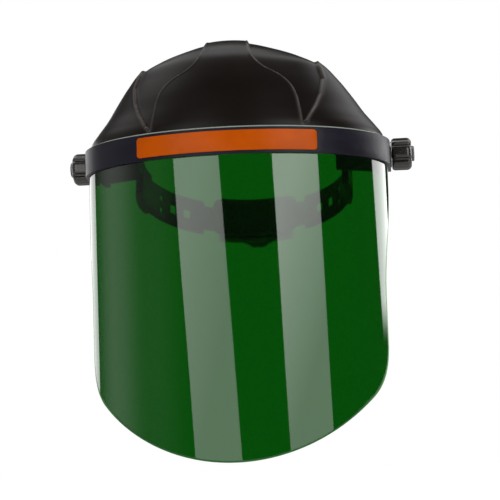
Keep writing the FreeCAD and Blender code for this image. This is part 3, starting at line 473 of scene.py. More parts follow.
def build_visor(settings):
    """Sheet meshed flat, evenly inside its outline, and then bent."""
    outline = sheet_outline(SHEET_STEP)
    slope = np.roll(outline, -1, axis=0) - np.roll(outline, 1, axis=0)
    inward = np.column_stack((slope[:, 1], -slope[:, 0])) / np.linalg.norm(slope, axis=1)[:, None]
    middle = np.array((0.0, -100.0))
    if np.dot(inward[0], middle - outline[0]) < 0:
        inward = -inward
    rim = outline + inward * RIM_INSET
    rim = rim[gap_to(rim, outline) > RIM_INSET - 0.1]
    wide, high = outline[:, 0].max(), outline[:, 1]
    field = np.array([(u, v) for v in np.arange(high.min(), high.max(), FIELD_STEP)
                      for u in np.arange(-wide, wide, FIELD_STEP)])
    field = field[gap_to(field, outline) > RIM_INSET + 1.5]
    flat = np.vstack((outline, rim, field))
    ring = [(k, (k + 1) % len(outline)) for k in range(len(outline))]
    inside = [list(range(len(outline)))]
    flat, _, faces, *_ = delaunay_2d_cdt([Vector(p) for p in flat], ring, inside, 1, 1e-4)
    flat = np.array([tuple(p) for p in flat])
    obj = make_object("visor_sheet", bent(flat), [tuple(face) for face in faces])
    # nearness to the cut edge, where the material paints its edge glow
    cut = obj.data.attributes.new("cut", "FLOAT", "POINT")
    reach = np.interp([v.co.y / MM for v in obj.data.vertices], *zip(CUT_FRONT, CUT_REAR))
    cut.data.foreach_set("value", np.clip(1 - gap_to(flat, outline) / reach, 0, 1))
    tidy_mesh(obj, merge=1e-6, sharp=180)
    thicken(obj, settings.thickness)
    round_edges(obj, "edge", settings.rim, 2, 60)
    baked(obj)
    shade(obj, 60)
    return obj


# ---- knobs ----
def lobed(count, depth):
    """Radius change round a knob with narrow rounded flutes between wide lobes."""
    def change(angle):
        pitch = 2 * pi / count
        from_flute = np.abs((angle / pitch) % 1 - 0.5) * 2       # 0 at the flute's middle
        reach = FLUTE_WIDTH / (KNOB_RADIUS * pitch) * 2
        return -depth * np.exp(-(from_flute / (reach * 0.6)) ** 4) - LOBE_CROWN * from_flute ** 2
    return change


def build_tilt_knob(side, name, settings):
    """Lobed knob with a rounded outer end and a dished seat for its cap."""
    length = KNOB_END - KNOB_START
    rings = [(0.0, 3.2, 0), (0.0, KNOB_RADIUS - 1.6, 0.4), (0.3, KNOB_RADIUS - 0.9, 0.8),
             (1.2, KNOB_RADIUS - 0.3, 1.0)]
    rings += [(x, KNOB_RADIUS, 1.0) for x in (2.2, 5.0, 8.0, 10.5, length - 4.0)]
    for t in np.linspace(pi / 16, pi / 2, 8):
        rings.append((length - 4.0 + 4.0 * sin(t) * 0.98, KNOB_RADIUS - 4.2 + 4.2 * cos(t),
                      1.0 - 0.6 * sin(t)))
    rings += [(length - 0.1, 8.6, 0.15), (length - 0.25, 7.6, 0), (length - 0.5, 7.0, 0),
              (length - 1.45, 6.9, 0), (length - 1.5, 3.2, 0), (0.0, 3.2, 0)]
    knob = turned(name, rings, 240, lobed(settings.lobes, settings.flute / MM))
    moved(knob, facing_out(side) @ Matrix.Translation((KNOB_START * MM, 0, 0)))
    tidy_mesh(knob, merge=2e-6, sharp=45)
    return knob


def build_cap(side, name):
    """Domed cap pressed into the knob's end."""
    start, end = KNOB_END - 1.4, KNOB_END + 2.3
    rings = [(start, 0.0, 0), (start, 6.15, 0), (end - 1.2, 6.2, 0)]
    rings += [(end - 1.2 + 1.0 * sin(t), 5.2 + 1.0 * cos(t), 0) for t in np.linspace(0.15, pi / 2, 6)]
    rings += [(end - 0.16, 4.6, 0), (end - 0.05, 3.0, 0), (end, 1.4, 0), (end, 0.0, 0)]
    cap = turned(name, rings, 96)
    moved(cap, facing_out(side))
    tidy_mesh(cap, merge=2e-6, sharp=50)
    return cap


# ---- pads ----
SEAM_SINK, SEAM_PULL = 0.36, 0.05       # shares of the thickness and height that a seam draws in


def pad_point(pad, along, t):
    """Point on a pad. along runs from -1 to 1 end to end, t once round its section from the back."""
    turn = radians(pad["middle"] + along * pad["spread"])
    taper = (1 - abs(along) ** 14) ** 0.5
    flat = cos(t) > 0
    u = np.sign(cos(t)) * abs(cos(t)) ** (0.25 if flat else 0.9)
    v = np.sign(sin(t)) * abs(sin(t)) ** (0.4 if flat else 0.62)
    channel = max(np.exp(-((along - seam) / pad["seam_width"]) ** 2) for seam in pad["seams"])
    thick = (pad["outer"] - pad["inner"]) * (0.35 + 0.65 * taper)
    swell = 0.0 if flat else -u
    depth = thick * (0.5 - 0.5 * u) - (SEAM_SINK * thick * channel * swell)
    radius = pad["outer"] - depth
    pull = 1 - SEAM_PULL * channel
    z = (pad["low"] + pad["high"]) / 2 + (pad["high"] - pad["low"]) / 2 * v * pull * (0.55 + 0.45 * taper)
    return (radius * sin(turn), pad["centre"] + radius * cos(turn), z)


def build_pad(name, pad):
    """Crowned pad bent round the head: flat where it lies on its carrier, sewn down at its seams."""
    length_steps, round_steps = 180, 40
    reach = (np.sin(np.linspace(-pi / 2, pi / 2, length_steps)) + np.linspace(-1, 1, length_steps)) / 2
    angles = np.arange(round_steps) * 2 * pi / round_steps
    verts = [pad_point(pad, along * 0.9995, t) for along in reach for t in angles]
    faces = grid_faces(length_steps, round_steps, wrap=True)
    for row, side in ((0, -1), (length_steps - 1, 1)):
        ring = [row * round_steps + k for k in range(round_steps)]
        faces.append(tuple(ring if side > 0 else ring[::-1]))
    obj = make_object(name, verts, faces)
    tidy_mesh(obj, merge=1e-6, sharp=70)
    return obj


def pad_path(pad, t, lift, first=-0.93, last=0.93, count=160):
    """Line along a pad's face, lifted off it by lift millimetres towards the head."""
    points = []
    for along in np.linspace(first, last, count):
        x, y, z = pad_point(pad, along, t)
        out = np.array((x, y - pad["centre"], 0.0))
        out /= np.linalg.norm(out)
        points.append(np.array((x, y, z)) - out * lift)
    return points


def pad_seam(pad, along, lift, count=24):
    """Line across a pad's face at one of its seams."""
    return [pad_path(pad, t, lift, along, along, 2)[0] for t in np.linspace(pi * 0.68, pi * 1.32, count)]


def pad_holes(pad, pitch_mm):
    """Places and facings of a staggered field of perforations between the seams."""
    points, facings = [], []
    length = radians(2 * pad["spread"]) * pad["inner"]
    columns = int(length * 0.88 / pitch_mm)
    for row, t in enumerate(np.linspace(pi * 0.80, pi * 1.20, 6)):
        for k in range(columns):
            along = (-0.88 + 1.76 * (k + 0.5 * (row % 2)) / columns)
            if min(abs(along - seam) for seam in pad["seams"]) < 2.2 * pad["seam_width"]:
                continue
            point = np.array(pad_path(pad, t, 0.0, along, along, 2)[0])
            out = np.array((point[0], point[1] - pad["centre"], 0.0))
            points.append(point)
            facings.append(-out / np.linalg.norm(out))
    return points, facings


SWEAT_PAD = {"middle": 180.0, "spread": 61.6, "inner": 78.9, "outer": 83.6, "centre": -4.0,
             "low": -4.8, "high": 24.8, "seams": (-0.62, -0.21, 0.21, 0.62), "seam_width": 0.022}
NAPE_PAD = {"middle": 0.0, "spread": 26.6, "inner": 77.9, "outer": 83.2, "centre": REAR_CENTRE_Y,
            "low": -16.8, "high": 16.8, "seams": (-0.34, 0.34), "seam_width": 0.05}


def perforation():
    """Punched hole in the leathercloth, of radius 1: a dark shallow dish with a rolled lip."""
    rings = [(0.0, 0.05, 0), (0.0, 1.0, 0), (0.06, 0.95, 0), (0.06, 0.82, 0), (0.02, 0.70, 0),
             (0.02, 0.0, 0)]
    return moved(turned("perforation", rings, 12), Matrix.Rotation(-pi / 2, 4, "Y"))


# ---- material nodes ----
def add(tree, kind, inputs=None, **settings):
    """Add a node, set its settings and its inputs; an input may be another node's output."""
    node = tree.nodes.new(kind)
    for key, value in settings.items():
        setattr(node, key, value)
    for key, value in (inputs or {}).items():
        if isinstance(value, bpy.types.NodeSocket):
            tree.links.new(value, node.inputs[key])
        else:
            node.inputs[key].default_value = value
    return node


def maths(tree, operation, *values):
    """A maths node's output; its values are numbers or outputs."""
    return add(tree, "ShaderNodeMath", dict(enumerate(values)), operation=operation).outputs[0]


def new_material(name):
    """A cleared material, its tree, and object coordinates to lay patterns on."""
    material = bpy.data.materials.new(name)
    material.use_nodes = True
    tree = material.node_tree
    tree.nodes.clear()
    place = add(tree, "ShaderNodeTexCoord").outputs["Object"]
    return material, tree, place


def close_material(tree, shader):
    add(tree, "ShaderNodeOutputMaterial", {"Surface": shader.outputs[0]})


def stretched(tree, place, *scale):
    """Coordinates scaled along each axis, so that a pattern on them runs one way."""
    return add(tree, "ShaderNodeMapping", {"Vector": place, "Scale": scale}).outputs[0]


def noise(tree, place, size_mm, detail=3.0, roughness=0.55):
    """Noise whose features are about size_mm across."""
    sockets = {"Vector": place, "Scale": 1.0 / (size_mm * MM), "Detail": detail, "Roughness": roughness}
    return add(tree, "ShaderNodeTexNoise", sockets).outputs["Fac"]


def ramp(tree, factor, low, high, low_at=0.35, high_at=0.65):
    """Colour ramp from low to high."""
    node = add(tree, "ShaderNodeValToRGB", {"Fac": factor})
    for stop, at, colour in zip(node.color_ramp.elements, (low_at, high_at), (low, high)):
        stop.position = at
        stop.color = colour
    return node.outputs["Color"]


def spread(tree, value, low, high, start=0.0, end=1.0, **settings):
    """Map a value that runs from start to end to the range low to high."""
    sockets = {"Value": value, "From Min": start, "From Max": end, "To Min": low, "To Max": high}
    return add(tree, "ShaderNodeMapRange", sockets, **settings).outputs["Result"]


def bump(tree, height, depth_mm, strength):
    sockets = {"Height": height, "Distance": depth_mm * MM, "Strength": strength}
    return add(tree, "ShaderNodeBump", sockets).outputs["Normal"]


def opaque(tree, colour, gloss, roughness, normal=None, **sockets):
    """Close a material with a solid surface, its roughness spread over the pattern gloss."""
    sockets = {key.replace("_", " "): value for key, value in sockets.items()}
    if normal:
        sockets["Normal"] = normal
    sockets.update({"Base Color": colour, "Roughness": spread(tree, gloss, *roughness)})
    close_material(tree, add(tree, "ShaderNodeBsdfPrincipled", sockets))


def moulded_abs():
    """ABS from a spark-eroded mould: dark, with an even fine grain, and a painted highlight along its ridges.
    """
    material, tree, place = new_material("moulded_abs_black")
    grain = noise(tree, place, 0.9, 2.0)              # real grit is about 0.1 mm, drawn coarser to show
    colour = ramp(tree, noise(tree, place, 35.0, 2.0), linear("#0c0705"), linear("#100a07"))
    ridge = add(tree, "ShaderNodeAttribute", attribute_name="ridge").outputs["Fac"]
    # painted highlight: the ridges are painted paler, for the light their crests catch
    highlit_ridges = add(tree, "ShaderNodeMixRGB", {"Fac": ridge, "Color1": colour, "Color2": linear("#3a3532")})
    opaque(tree, highlit_ridges.outputs[0], grain, (0.31, 0.40), bump(tree, grain, 0.04, 0.5),
           Specular_IOR_Level=0.14, IOR=1.5)
    return material


def satin_polypropylene():
    """Polypropylene from a stoned mould: navy black with a satin sheen and faint flow marks."""
    material, tree, place = new_material("satin_polypropylene_navy")
    flow = noise(tree, stretched(tree, place, 0.25, 0.25, 1.6), 9.0)
    grit = noise(tree, place, 0.7, 2.0)
    colour = ramp(tree, flow, linear("#0c0a14"), linear("#110e1c"))
    opaque(tree, colour, flow, (0.38, 0.45), bump(tree, grit, 0.012, 0.4), Specular_IOR_Level=0.18, IOR=1.49)
    return material


def orange_acetal(colour):
    """Acetal from a polished mould: strong orange, nearly glossy, a little darker in clouds."""
    material, tree, place = new_material("polished_acetal_orange")
    fine = noise(tree, place, 1.2, 2.0)
    deeper = tuple(c * 0.88 for c in colour[:3]) + (1.0,)
    clouded = ramp(tree, noise(tree, place, 22.0, 2.0), deeper, tuple(colour))
    opaque(tree, clouded, fine, (0.22, 0.28), bump(tree, fine, 0.004, 0.3), Specular_IOR_Level=0.07, IOR=1.48)
    return material


def tinted_polycarbonate(tint):
    """Polycarbonate sheet, extruded and die cut: clear dark green, mirror smooth, with faint hairlines.

    The cut edge is painted with the glow of light that travels inside the sheet: a painted green line that
    darkens towards the bottom, and a pale painted highlight where the top edge stands above the band.
    """
    material, tree, place = new_material("tinted_polycarbonate_green")
    wave = noise(tree, stretched(tree, place, 1.0, 1.0, 0.35), 60.0, 1.0)
    hair = noise(tree, stretched(tree, place, 0.4, 0.4, 9.0), 2.0, 2.0)
    clear = add(tree, "ShaderNodeBsdfPrincipled", {
        "Base Color": tint, "Roughness": spread(tree, hair, 0.015, 0.05),
        "Normal": bump(tree, wave, 0.3, 0.5), "Transmission Weight": 1.0, "IOR": 1.58})
    level = add(tree, "ShaderNodeSeparateXYZ", {0: place}).outputs["Z"]
    above_bottom = spread(tree, level, 0.0, 1.0, -0.21, -0.14)
    above_band = spread(tree, level, 0.0, 1.0, 0.004, 0.006)
    # painted glow of the cut edge, darker towards the bottom
    green = ramp(tree, above_bottom, linear("#1c5a1e"), linear("#6ba466"), 0.0, 1.0)
    # painted highlight on the top edge, where it stands above the band
    pale = add(tree, "ShaderNodeMixRGB", {"Fac": above_band, "Color1": green, "Color2": linear("#8d968c")})
    rim = add(tree, "ShaderNodeBsdfPrincipled", {
        "Base Color": pale.outputs[0], "Roughness": 0.55, "Specular IOR Level": 0.1, "IOR": 1.58})
    near = add(tree, "ShaderNodeAttribute", attribute_name="cut").outputs["Fac"]
    edge = spread(tree, near, 0.0, 0.9, 0.3, 0.62)
    close_material(tree, add(tree, "ShaderNodeMixShader", {0: edge, 1: clear.outputs[0], 2: rim.outputs[0]}))
    return material


def moulded_nylon():
    """Glass-filled nylon, moulded: warm black with a slight gloss and a fine fibre grain."""
    material, tree, place = new_material("glass_filled_nylon_black")
    fibre = noise(tree, stretched(tree, place, 1.0, 0.5, 1.0), 0.8, 3.0)
    colour = ramp(tree, noise(tree, place, 8.0, 2.0), linear("#15110e"), linear("#1e1914"))
    opaque(tree, colour, fibre, (0.20, 0.32), bump(tree, fibre, 0.015, 0.4), IOR=1.56)
    return material


def cap_plastic():
    """Acetal cap, moulded: mid grey, satin."""
    material, tree, place = new_material("satin_acetal_grey")
    fine = noise(tree, place, 0.8, 2.0)
    colour = ramp(tree, noise(tree, place, 6.0), linear("#4a4846"), linear("#545250"))
    opaque(tree, colour, fine, (0.3, 0.4), bump(tree, fine, 0.01, 0.4), IOR=1.48)
    return material


def headgear_polyethylene():
    """High-density polyethylene, moulded: black, waxy, with a soft wide highlight and scuffs."""
    material, tree, place = new_material("moulded_polyethylene_black")
    scuff = noise(tree, place, 4.0, 5.0, 0.7)
    grain = noise(tree, place, 0.6, 2.0)
    colour = ramp(tree, scuff, linear("#18181a"), linear("#232326"), 0.3, 0.8)
    opaque(tree, colour, scuff, (0.36, 0.55), bump(tree, grain, 0.02, 0.5), IOR=1.51)
    return material


def natural_nylon():
    """Unfilled nylon, turned or moulded: milky, slightly translucent washers and bushes."""
    material, tree, place = new_material("natural_nylon")
    cloud = noise(tree, place, 3.0, 3.0)
    colour = ramp(tree, cloud, linear("#b9b6a8"), linear("#c8c5b8"))
    opaque(tree, colour, cloud, (0.35, 0.45), Subsurface_Weight=0.2, Subsurface_Scale=0.002, IOR=1.53)
    return material


def turned_metal(name, low, high, roughness):
    """Metal turned on a lathe and left bright: fine lines round the axis."""
    material, tree, place = new_material(name)
    lines = noise(tree, stretched(tree, place, 6.0, 1.0, 1.0), 1.5, 2.0)
    opaque(tree, ramp(tree, lines, linear(low), linear(high)), lines, (roughness, roughness + 0.12),
           bump(tree, lines, 0.01, 0.4), Metallic=1.0)
    return material


def leathercloth():
    """Coated knit over foam: soft black with a pebbled grain and tiny pores."""
    material, tree, place = new_material("leathercloth_black")
    pebble = add(tree, "ShaderNodeTexVoronoi", {"Vector": place, "Scale": 1.0 / (1.1 * MM)},
                 feature="SMOOTH_F1").outputs["Distance"]
    colour = ramp(tree, noise(tree, place, 12.0, 3.0), linear("#1d1d1f"), linear("#29292c"))
    opaque(tree, colour, pebble, (0.62, 0.8), bump(tree, maths(tree, "POWER", pebble, 0.7), 0.12, 0.7),
           Sheen_Weight=0.25, Sheen_Roughness=0.5, IOR=1.45)
    return material


def hole_shadow():
    """Inside of a punched hole: the foam in shade, nearly black and dull."""
    material, tree, place = new_material("punched_hole_shade")
    foam = noise(tree, place, 0.4, 2.0)
    opaque(tree, ramp(tree, foam, linear("#070708"), linear("#101012")), foam, (0.8, 0.95))
    return material


def thread_material():
    """Polyester sewing thread, twisted: dull grey with a light sheen."""
    material, tree, place = new_material("polyester_thread_grey")
    twist = noise(tree, place, 0.3, 2.0)
    shader = add(tree, "ShaderNodeBsdfPrincipled", {
        "Base Color": ramp(tree, twist, linear("#3b3b3e"), linear("#56565a")), "Roughness": 0.7,
        "Sheen Weight": 0.4, "Normal": bump(tree, twist, 0.04, 0.6)})
    close_material(tree, shader)
    return material


# ---- add-on ----
def length(name, description, default):
    """A size in metres."""
    return FloatProperty(name=name, description=description, default=default, unit="LENGTH")


class GuardSettings(PropertyGroup):
    rows: IntProperty(name="Rows", description="Rows of faces up the dome", default=142, min=20)
    columns: IntProperty(name="Columns", description="Columns of faces round the dome", default=330,
                         min=40)
    wall: length("Wall", "Wall thickness of the moulding", 0.0028)
    rim: length("Rim", "Rounding of the free edges", 0.0007)


class SheetSettings(PropertyGroup):
    thickness: length("Thickness", "Thickness of the sheet", 0.001)
    rim: length("Rim", "Rounding of the cut edge", 0.0002)
    tint: FloatVectorProperty(name="Tint", description="Colour of the light that passes through the sheet",
                              subtype="COLOR", size=4, default=linear("#034b06"))


class BandSettings(PropertyGroup):
    rim: length("Band rounding", "Rounding of the band's edges", 0.0007)
    insert_colour: FloatVectorProperty(name="Insert colour", description="Colour of the front insert",
                                       subtype="COLOR", size=4, default=linear("#a84600"))


class KnobSettings(PropertyGroup):
    lobes: IntProperty(name="Lobes", description="Lobes round a tilt knob", default=6, min=3)
    flute: length("Flute", "Depth of the flutes between the lobes", 0.0021)


class PadSettings(PropertyGroup):
    fill: FloatProperty(name="Fill", description="How tightly the pads are filled", default=0.55, min=0,
                        max=1)
    stitch_spacing: length("Stitch spacing", "Distance from stitch to stitch", 0.0031)
    stitch_length: length("Stitch length", "Length of one stitch", 0.0024)
    thread_radius: length("Thread radius", "Radius of the sewing thread", 0.00024)
    hole_pitch: length("Hole pitch", "Distance between perforations", 0.0042)
    hole_radius: length("Hole radius", "Radius of a perforation", 0.00062)


class StageSettings(PropertyGroup):
    lens: FloatProperty(name="Lens", description="Focal length of the camera, millimetres", default=115.0)
    floor: length("Floor", "Height of the floor", -0.35)
    ambient: FloatProperty(name="Ambient", description="Strength of the soft light from all round",
                           default=0.55)
    room: FloatProperty(name="Room", description="Strength of the dark room in reflections", default=0.025)


class Build:
    """What the operators share: each one's build makes its pieces from its own settings."""
    bl_options = {"REGISTER", "UNDO"}

    def execute(self, context):
        self.build(context.scene)
        return {"FINISHED"}


class FACESHIELD_OT_guard(Build, Operator):
    """Brow guard moulding with its three raised panels"""
    bl_idname = "faceshield.guard"
    bl_label = "Brow guard"

    def build(self, scene):
        guard = build_guard(scene.faceshield_guard)
        finish_piece(guard, "shield", moulded_abs(), "crown_plastic", "crown_shell")


class FACESHIELD_OT_sheet(Build, Operator):
    """Visor sheet bent round the front"""
    bl_idname = "faceshield.sheet"
    bl_label = "Visor sheet"

    def build(self, scene):
        settings = scene.faceshield_sheet
        sheet = build_visor(settings)
        finish_piece(sheet, "shield", tinted_polycarbonate(settings.tint), "visor_sheet", "visor")


class FACESHIELD_OT_band(Build, Operator):
    """Band over the visor's top edge, its insert plate and the studs behind it"""
    bl_idname = "faceshield.band"
    bl_label = "Band"

    def build(self, scene):
        settings = scene.faceshield_band
        navy, orange = satin_polypropylene(), orange_acetal(settings.insert_colour)
        rounded_node("visor_band", "shield", navy, "band_plastic", settings.rim / MM, "band", 3)
        rounded_node("front_insert", "shield", orange, "insert_plastic", 0.5, "insert", 3)
        rounded_node("visor_snap_studs", "shield", moulded_nylon(), "stud_plastic", 0.3, "studs")


class FACESHIELD_OT_knobs(Build, Operator):
    """Tilt knobs and their caps"""
    bl_idname = "faceshield.knobs"
    bl_label = "Tilt knobs"

    def build(self, scene):
        settings = scene.faceshield_knobs
        nylon, grey = moulded_nylon(), cap_plastic()
        for side, word in ((1, "right"), (-1, "left")):
            knob = build_tilt_knob(side, f"tilt_knob_{word}_grip", settings)
            finish_piece(knob, f"tilt_knob_{word}", nylon, "knob_plastic", f"pivot_knob_{word}")
            cap = build_cap(side, f"knob_cap_{word}_piece")
            finish_piece(cap, f"tilt_knob_{word}", grey, "cap_plastic", f"knob_cap_{word}")


class FACESHIELD_OT_pivots(Build, Operator):
    """Bolts, bushes, washers, stop discs and nuts of the two tilt pivots"""
    bl_idname = "faceshield.pivots"
    bl_label = "Pivot hardware"

    def build(self, scene):
        zinc = turned_metal("zinc_plated_steel", "#a6a7a8", "#c4c5c6", 0.22)
        spring = turned_metal("spring_steel", "#77787c", "#95969a", 0.28)
        brass = turned_metal("turned_brass", "#b08d49", "#c9a45c", 0.2)
        milky = natural_nylon()
        rows = (("pivot_bolt", "headgear", zinc, "zinc_steel", 0.25),
                ("pivot_bush", "headgear", milky, "stop_disc_plastic", 0.2),
                ("spring_washer", "headgear", spring, "spring_steel", 0.15),
                ("stop_disc", "shield", milky, "stop_disc_plastic", 0.2),
                ("knob_nut", None, brass, "nut_brass", 0.25))
        for word in ("left", "right"):
            for node, body, material, slot, width in rows:
                rounded_node(f"{node}_{word}", body or f"tilt_knob_{word}", material, slot, width)


class FACESHIELD_OT_headgear(Build, Operator):
    """Headband, rack straps and the strap over the head"""
    bl_idname = "faceshield.headgear"
    bl_label = "Headgear straps"

    def build(self, scene):
        waxy = headgear_polyethylene()
        rows = (("headband", "headgear", 0.55), ("rack_strap_left", "strap_left", 0.25),
                ("rack_strap_right", "strap_right", 0.25), ("top_strap_left", "headgear", 0.35),
                ("top_strap_right", "headgear", 0.35), ("top_strap_peg", "headgear", 0.4))
        for node, body, width in rows:
            rounded_node(node, body, waxy, "headgear_plastic", width)
        rounded_node("top_strap_studs", "headgear", moulded_nylon(), "stud_plastic", 0.4)


class FACESHIELD_OT_ratchet(Build, Operator):
    """Ratchet housing, its screws, pinion, click spring and dial"""
    bl_idname = "faceshield.ratchet"
    bl_label = "Ratchet"

    def build(self, scene):
        nylon = moulded_nylon()
        zinc = turned_metal("zinc_plated_screws", "#9d9fa1", "#bcbdbf", 0.2)
        spring = turned_metal("click_spring_steel", "#6f7074", "#8d8e93", 0.3)
        rows = (("ratchet_housing", "headgear", nylon, "housing_plastic", 0.6),
                ("ratchet_back_plate", "headgear", nylon, "housing_plastic", 0.4),
                ("ratchet_knob", "ratchet_dial", nylon, "knob_plastic", 0.55),
                ("ratchet_pinion", "ratchet_dial", nylon, "knob_plastic", 0.15),
                ("ratchet_knob_screw", "ratchet_dial", zinc, "zinc_steel", 0.25),
                ("click_spring", "headgear", spring, "spring_steel", 0.15),
                ("housing_screws", "headgear", zinc, "zinc_steel", 0.15))
        for row in rows:
            rounded_node(*row)


class FACESHIELD_OT_pads(Build, Operator):
    """Perforated sweatband and nape pad with their stitching"""
    bl_idname = "faceshield.pads"
    bl_label = "Pads"

    def build(self, scene):
        settings = scene.faceshield_pads
        cloth, thread, shadow = leathercloth(), thread_material(), hole_shadow()
        for name, pad, node, turn in (("sweatband_pad", SWEAT_PAD, "sweatband", None),
                                      ("nape_cushion", NAPE_PAD, "nape_pad", rear_matrix())):
            cushion = build_pad(name, pad)
            lines = [pad_path(pad, t, 0.05) for t in (pi * 0.66, pi * 1.34)]
            lines += [pad_seam(pad, seam, 0.05) for seam in pad["seams"]]
            seams = stitched(f"{name}_stitches", lines, settings, thread)
            points, facings = pad_holes(pad, settings.hole_pitch / MM)
            holes = repeated(f"{name}_holes", perforation(), points, facings, settings.hole_radius / MM,
                             shadow)
            for piece in (cushion, seams, holes):
                if turn:
                    moved(piece, turn)
            finish_piece(cushion, "headgear", cloth, "sweatband_fabric", node)
            finish_piece(seams, "headgear", thread, "sweatband_fabric")
            finish_piece(holes, "headgear", shadow, "sweatband_fabric")


class FACESHIELD_OT_stage(Build, Operator):
    """Floor, lamps, world and camera"""
    bl_idname = "faceshield.stage"
    bl_label = "Stage"

    def build(self, scene):
        settings = scene.faceshield_stage
        build_floor(settings.floor)
        build_world(settings)
        for row in LAMPS:
            lamp(*row)
        build_camera(settings.lens)
        scene.view_settings.view_transform = "Standard"


class FACESHIELD_PT_panel(Panel):
    bl_label = "Face shield"
    bl_idname = "FACESHIELD_PT_panel"
    bl_space_type = "VIEW_3D"
    bl_region_type = "UI"
    bl_category = "Face shield"

    def draw(self, context):
        layout = self.layout
        for key, _ in SETTINGS:
            settings = getattr(context.scene, key)
            box = layout.box()
            for name in settings.__annotations__:
                box.prop(settings, name)
        for operator in OPERATORS:
            layout.operator(operator.bl_idname)


# ---- stage ----
# side, lean in degrees per unit of rise, first and last angle from the front, border, lowest and
# highest rise in hundredths, border, strength
ROOM_PANELS = (
    (1.0, 85.0, 129.0, 167.0, 1.2, 6.8, 42.0, 1.6, 4.4),
    (-1.0, -10.0, 127.0, 158.0, 1.2, -12.0, 30.0, 4.0, 2.2),
    (-1.0, 0.0, 74.0, 106.0, 14.0, -30.0, 60.0, 4.0, 0.47),
    (-1.0, 0.0, 40.0, 122.0, 14.0, -30.0, 60.0, 4.0, 0.17),
    (-1.0, 0.0, 60.0, 150.0, 14.0, 62.0, 96.0, 12.0, 2.4),
    (1.0, 0.0, 105.0, 158.0, 8.0, 42.0, 85.0, 8.0, 1.7),
)


def build_floor(height):
    """Pale floor that keeps the object's shadow and shows white where no shadow falls."""
    half = 4000
    floor = make_object("floor", [(-half, -half, height / MM), (half, -half, height / MM),
                                  (half, half, height / MM), (-half, half, height / MM)], [(0, 1, 2, 3)])
    material, tree, _ = new_material("studio_floor")
    matte = add(tree, "ShaderNodeBsdfDiffuse", {"Color": linear("#dcdcdc")})
    white = add(tree, "ShaderNodeEmission", {"Color": (1, 1, 1, 1), "Strength": 0.9})
    both = add(tree, "ShaderNodeAddShader", {0: matte.outputs[0], 1: white.outputs[0]})
    ray = add(tree, "ShaderNodeLightPath").outputs["Is Camera Ray"]
    close_material(tree, add(tree, "ShaderNodeMixShader", {0: ray, 1: matte.outputs[0], 2: both.outputs[0]}))
    floor.data.materials.append(material)


def window(tree, value, start, end, soft):
    """1 between start and end and 0 outside them, with soft borders."""
    rise = spread(tree, value, 0.0, 1.0, start - soft, start + soft, interpolation_type="SMOOTHSTEP")
    fall = spread(tree, value, 1.0, 0.0, end - soft, end + soft, interpolation_type="SMOOTHSTEP")
    return maths(tree, "MULTIPLY", rise, fall)


def angle_round(tree, direction, lean, side):
    """Angle from the front in degrees, growing towards side, shifted by lean as the ray rises."""
    out = maths(tree, "MULTIPLY", direction["X"], side)
    front = maths(tree, "MULTIPLY", direction["Y"], -1.0)
    turn = maths(tree, "DEGREES", maths(tree, "ARCTAN2", out, front))
    return maths(tree, "MULTIPLY_ADD", direction["Z"], lean, turn)


def build_world(settings):
    """White behind the object; rays that bounce off it find a dark room with lit panels at its sides."""
    world = bpy.data.worlds.new("studio")
    bpy.context.scene.world = world
    world.use_nodes = True
    tree = world.node_tree
    tree.nodes.clear()
    ray = add(tree, "ShaderNodeTexCoord").outputs["Generated"]
    direction = add(tree, "ShaderNodeSeparateXYZ", {0: ray}).outputs
    strength = settings.room
    rise = maths(tree, "MULTIPLY", direction["Z"], 100.0)
    for side, lean, start, end, soft, low, high, fade, power in ROOM_PANELS:
        across = window(tree, angle_round(tree, direction, lean, side), start, end, soft)
        lit = maths(tree, "MULTIPLY", across, window(tree, rise, low, high, fade))
        strength = maths(tree, "MULTIPLY_ADD", lit, power, strength)
    path = add(tree, "ShaderNodeLightPath").outputs
    white, room, ambient = (
        add(tree, "ShaderNodeBackground", {"Color": (1, 1, 1, 1), "Strength": level}).outputs[0]
        for level in (1.0, strength, settings.ambient))
    seen = room
    for kind, background in (("Diffuse", ambient), ("Transmission", white), ("Camera", white)):
        mix = add(tree, "ShaderNodeMixShader", {0: path[f"Is {kind} Ray"], 1: seen, 2: background})
        seen = mix.outputs[0]
    add(tree, "ShaderNodeOutputWorld", {"Surface": seen})


FOOT_AT, TOP_AT = 0.40, 0.66    # the part of a soft box's height that the sheet mirrors
LAMP_AIM = (0.0, -0.06, -0.08)
# name, centre, direction of the long side, width, height, power, brightness left at the foot
LAMPS = (
    ("soft_box_right_hand", (-0.502, -1.471, -0.007), (-0.222, 0.100, 0.510), 0.66, 1.5, 9.0, 0.68),
    ("soft_box_left_hand", (0.955, -1.225, 0.004), (-0.120, -0.063, 0.483), 0.79, 1.5, 17.0, 0.45),
    ("soft_box_high", (0.2, 0.1, 1.5), (1.0, 0.0, 0.0), 0.8, 1.2, 10.0, 1.0),
)
CAMERA_PLACE, CAMERA_TARGET, CAMERA_ROLL = (0.1295, -1.2857, -0.2200), (0.0049, 0.0, -0.0728), -1.9
SENSOR_WIDTH = 36.0


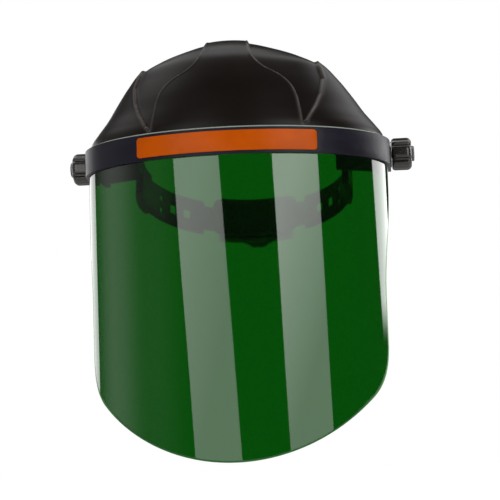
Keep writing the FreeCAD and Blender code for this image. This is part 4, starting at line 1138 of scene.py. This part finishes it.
def lamp(name, centre, lean, width, height, power, foot):
    """Rectangular soft box facing the object, its long side along lean, dimmed to foot at its foot."""
    data = bpy.data.lights.new(name, "AREA")
    data.shape = "RECTANGLE"
    data.size, data.size_y, data.energy = width, height, power
    data.use_nodes = True
    tree = data.node_tree
    tree.nodes.clear()
    place = add(tree, "ShaderNodeSeparateXYZ", {0: add(tree, "ShaderNodeNewGeometry").outputs["Parametric"]})
    level = spread(tree, place.outputs["Y"], foot, 1.0, FOOT_AT, TOP_AT)
    light = add(tree, "ShaderNodeEmission", {"Color": (1, 1, 1, 1), "Strength": level})
    add(tree, "ShaderNodeOutputLight", {"Surface": light.outputs[0]})
    obj = bpy.data.objects.new(name, data)
    bpy.context.scene.collection.objects.link(obj)
    back = (Vector(centre) - Vector(LAMP_AIM)).normalized()
    up = Vector(lean)
    up = (up - up.dot(back) * back).normalized()
    side = up.cross(back)
    turn = Matrix((side, up, back)).transposed().to_4x4()
    obj.matrix_world = Matrix.Translation(centre) @ turn


def build_camera(lens):
    """Long lens, a little below the middle of the object and to its left, looking up."""
    data = bpy.data.cameras.new("camera")
    data.lens, data.sensor_width = lens, SENSOR_WIDTH
    camera = bpy.data.objects.new("camera", data)
    bpy.context.scene.collection.objects.link(camera)
    ahead = Vector(CAMERA_TARGET) - Vector(CAMERA_PLACE)
    turn = ahead.to_track_quat("-Z", "Y").to_matrix().to_4x4() @ Matrix.Rotation(radians(CAMERA_ROLL), 4, "Z")
    camera.matrix_world = Matrix.Translation(CAMERA_PLACE) @ turn
    bpy.context.scene.camera = camera


OPERATORS = (FACESHIELD_OT_guard, FACESHIELD_OT_sheet, FACESHIELD_OT_band, FACESHIELD_OT_knobs,
             FACESHIELD_OT_pivots, FACESHIELD_OT_headgear, FACESHIELD_OT_ratchet, FACESHIELD_OT_pads,
             FACESHIELD_OT_stage)
SETTINGS = (("faceshield_guard", GuardSettings), ("faceshield_sheet", SheetSettings),
            ("faceshield_band", BandSettings), ("faceshield_knobs", KnobSettings),
            ("faceshield_pads", PadSettings), ("faceshield_stage", StageSettings))
CLASSES = tuple(group for _, group in SETTINGS) + OPERATORS + (FACESHIELD_PT_panel,)


def register():
    for cls in CLASSES:
        bpy.utils.register_class(cls)
    for key, group in SETTINGS:
        setattr(bpy.types.Scene, key, PointerProperty(type=group))


def unregister():
    for key, _ in SETTINGS:
        delattr(bpy.types.Scene, key)
    for cls in reversed(CLASSES):
        bpy.utils.unregister_class(cls)


def main():
    register()
    for operator in OPERATORS:
        group, name = operator.bl_idname.split(".")
        getattr(getattr(bpy.ops, group), name)()


if __name__ == "__main__":
    main()
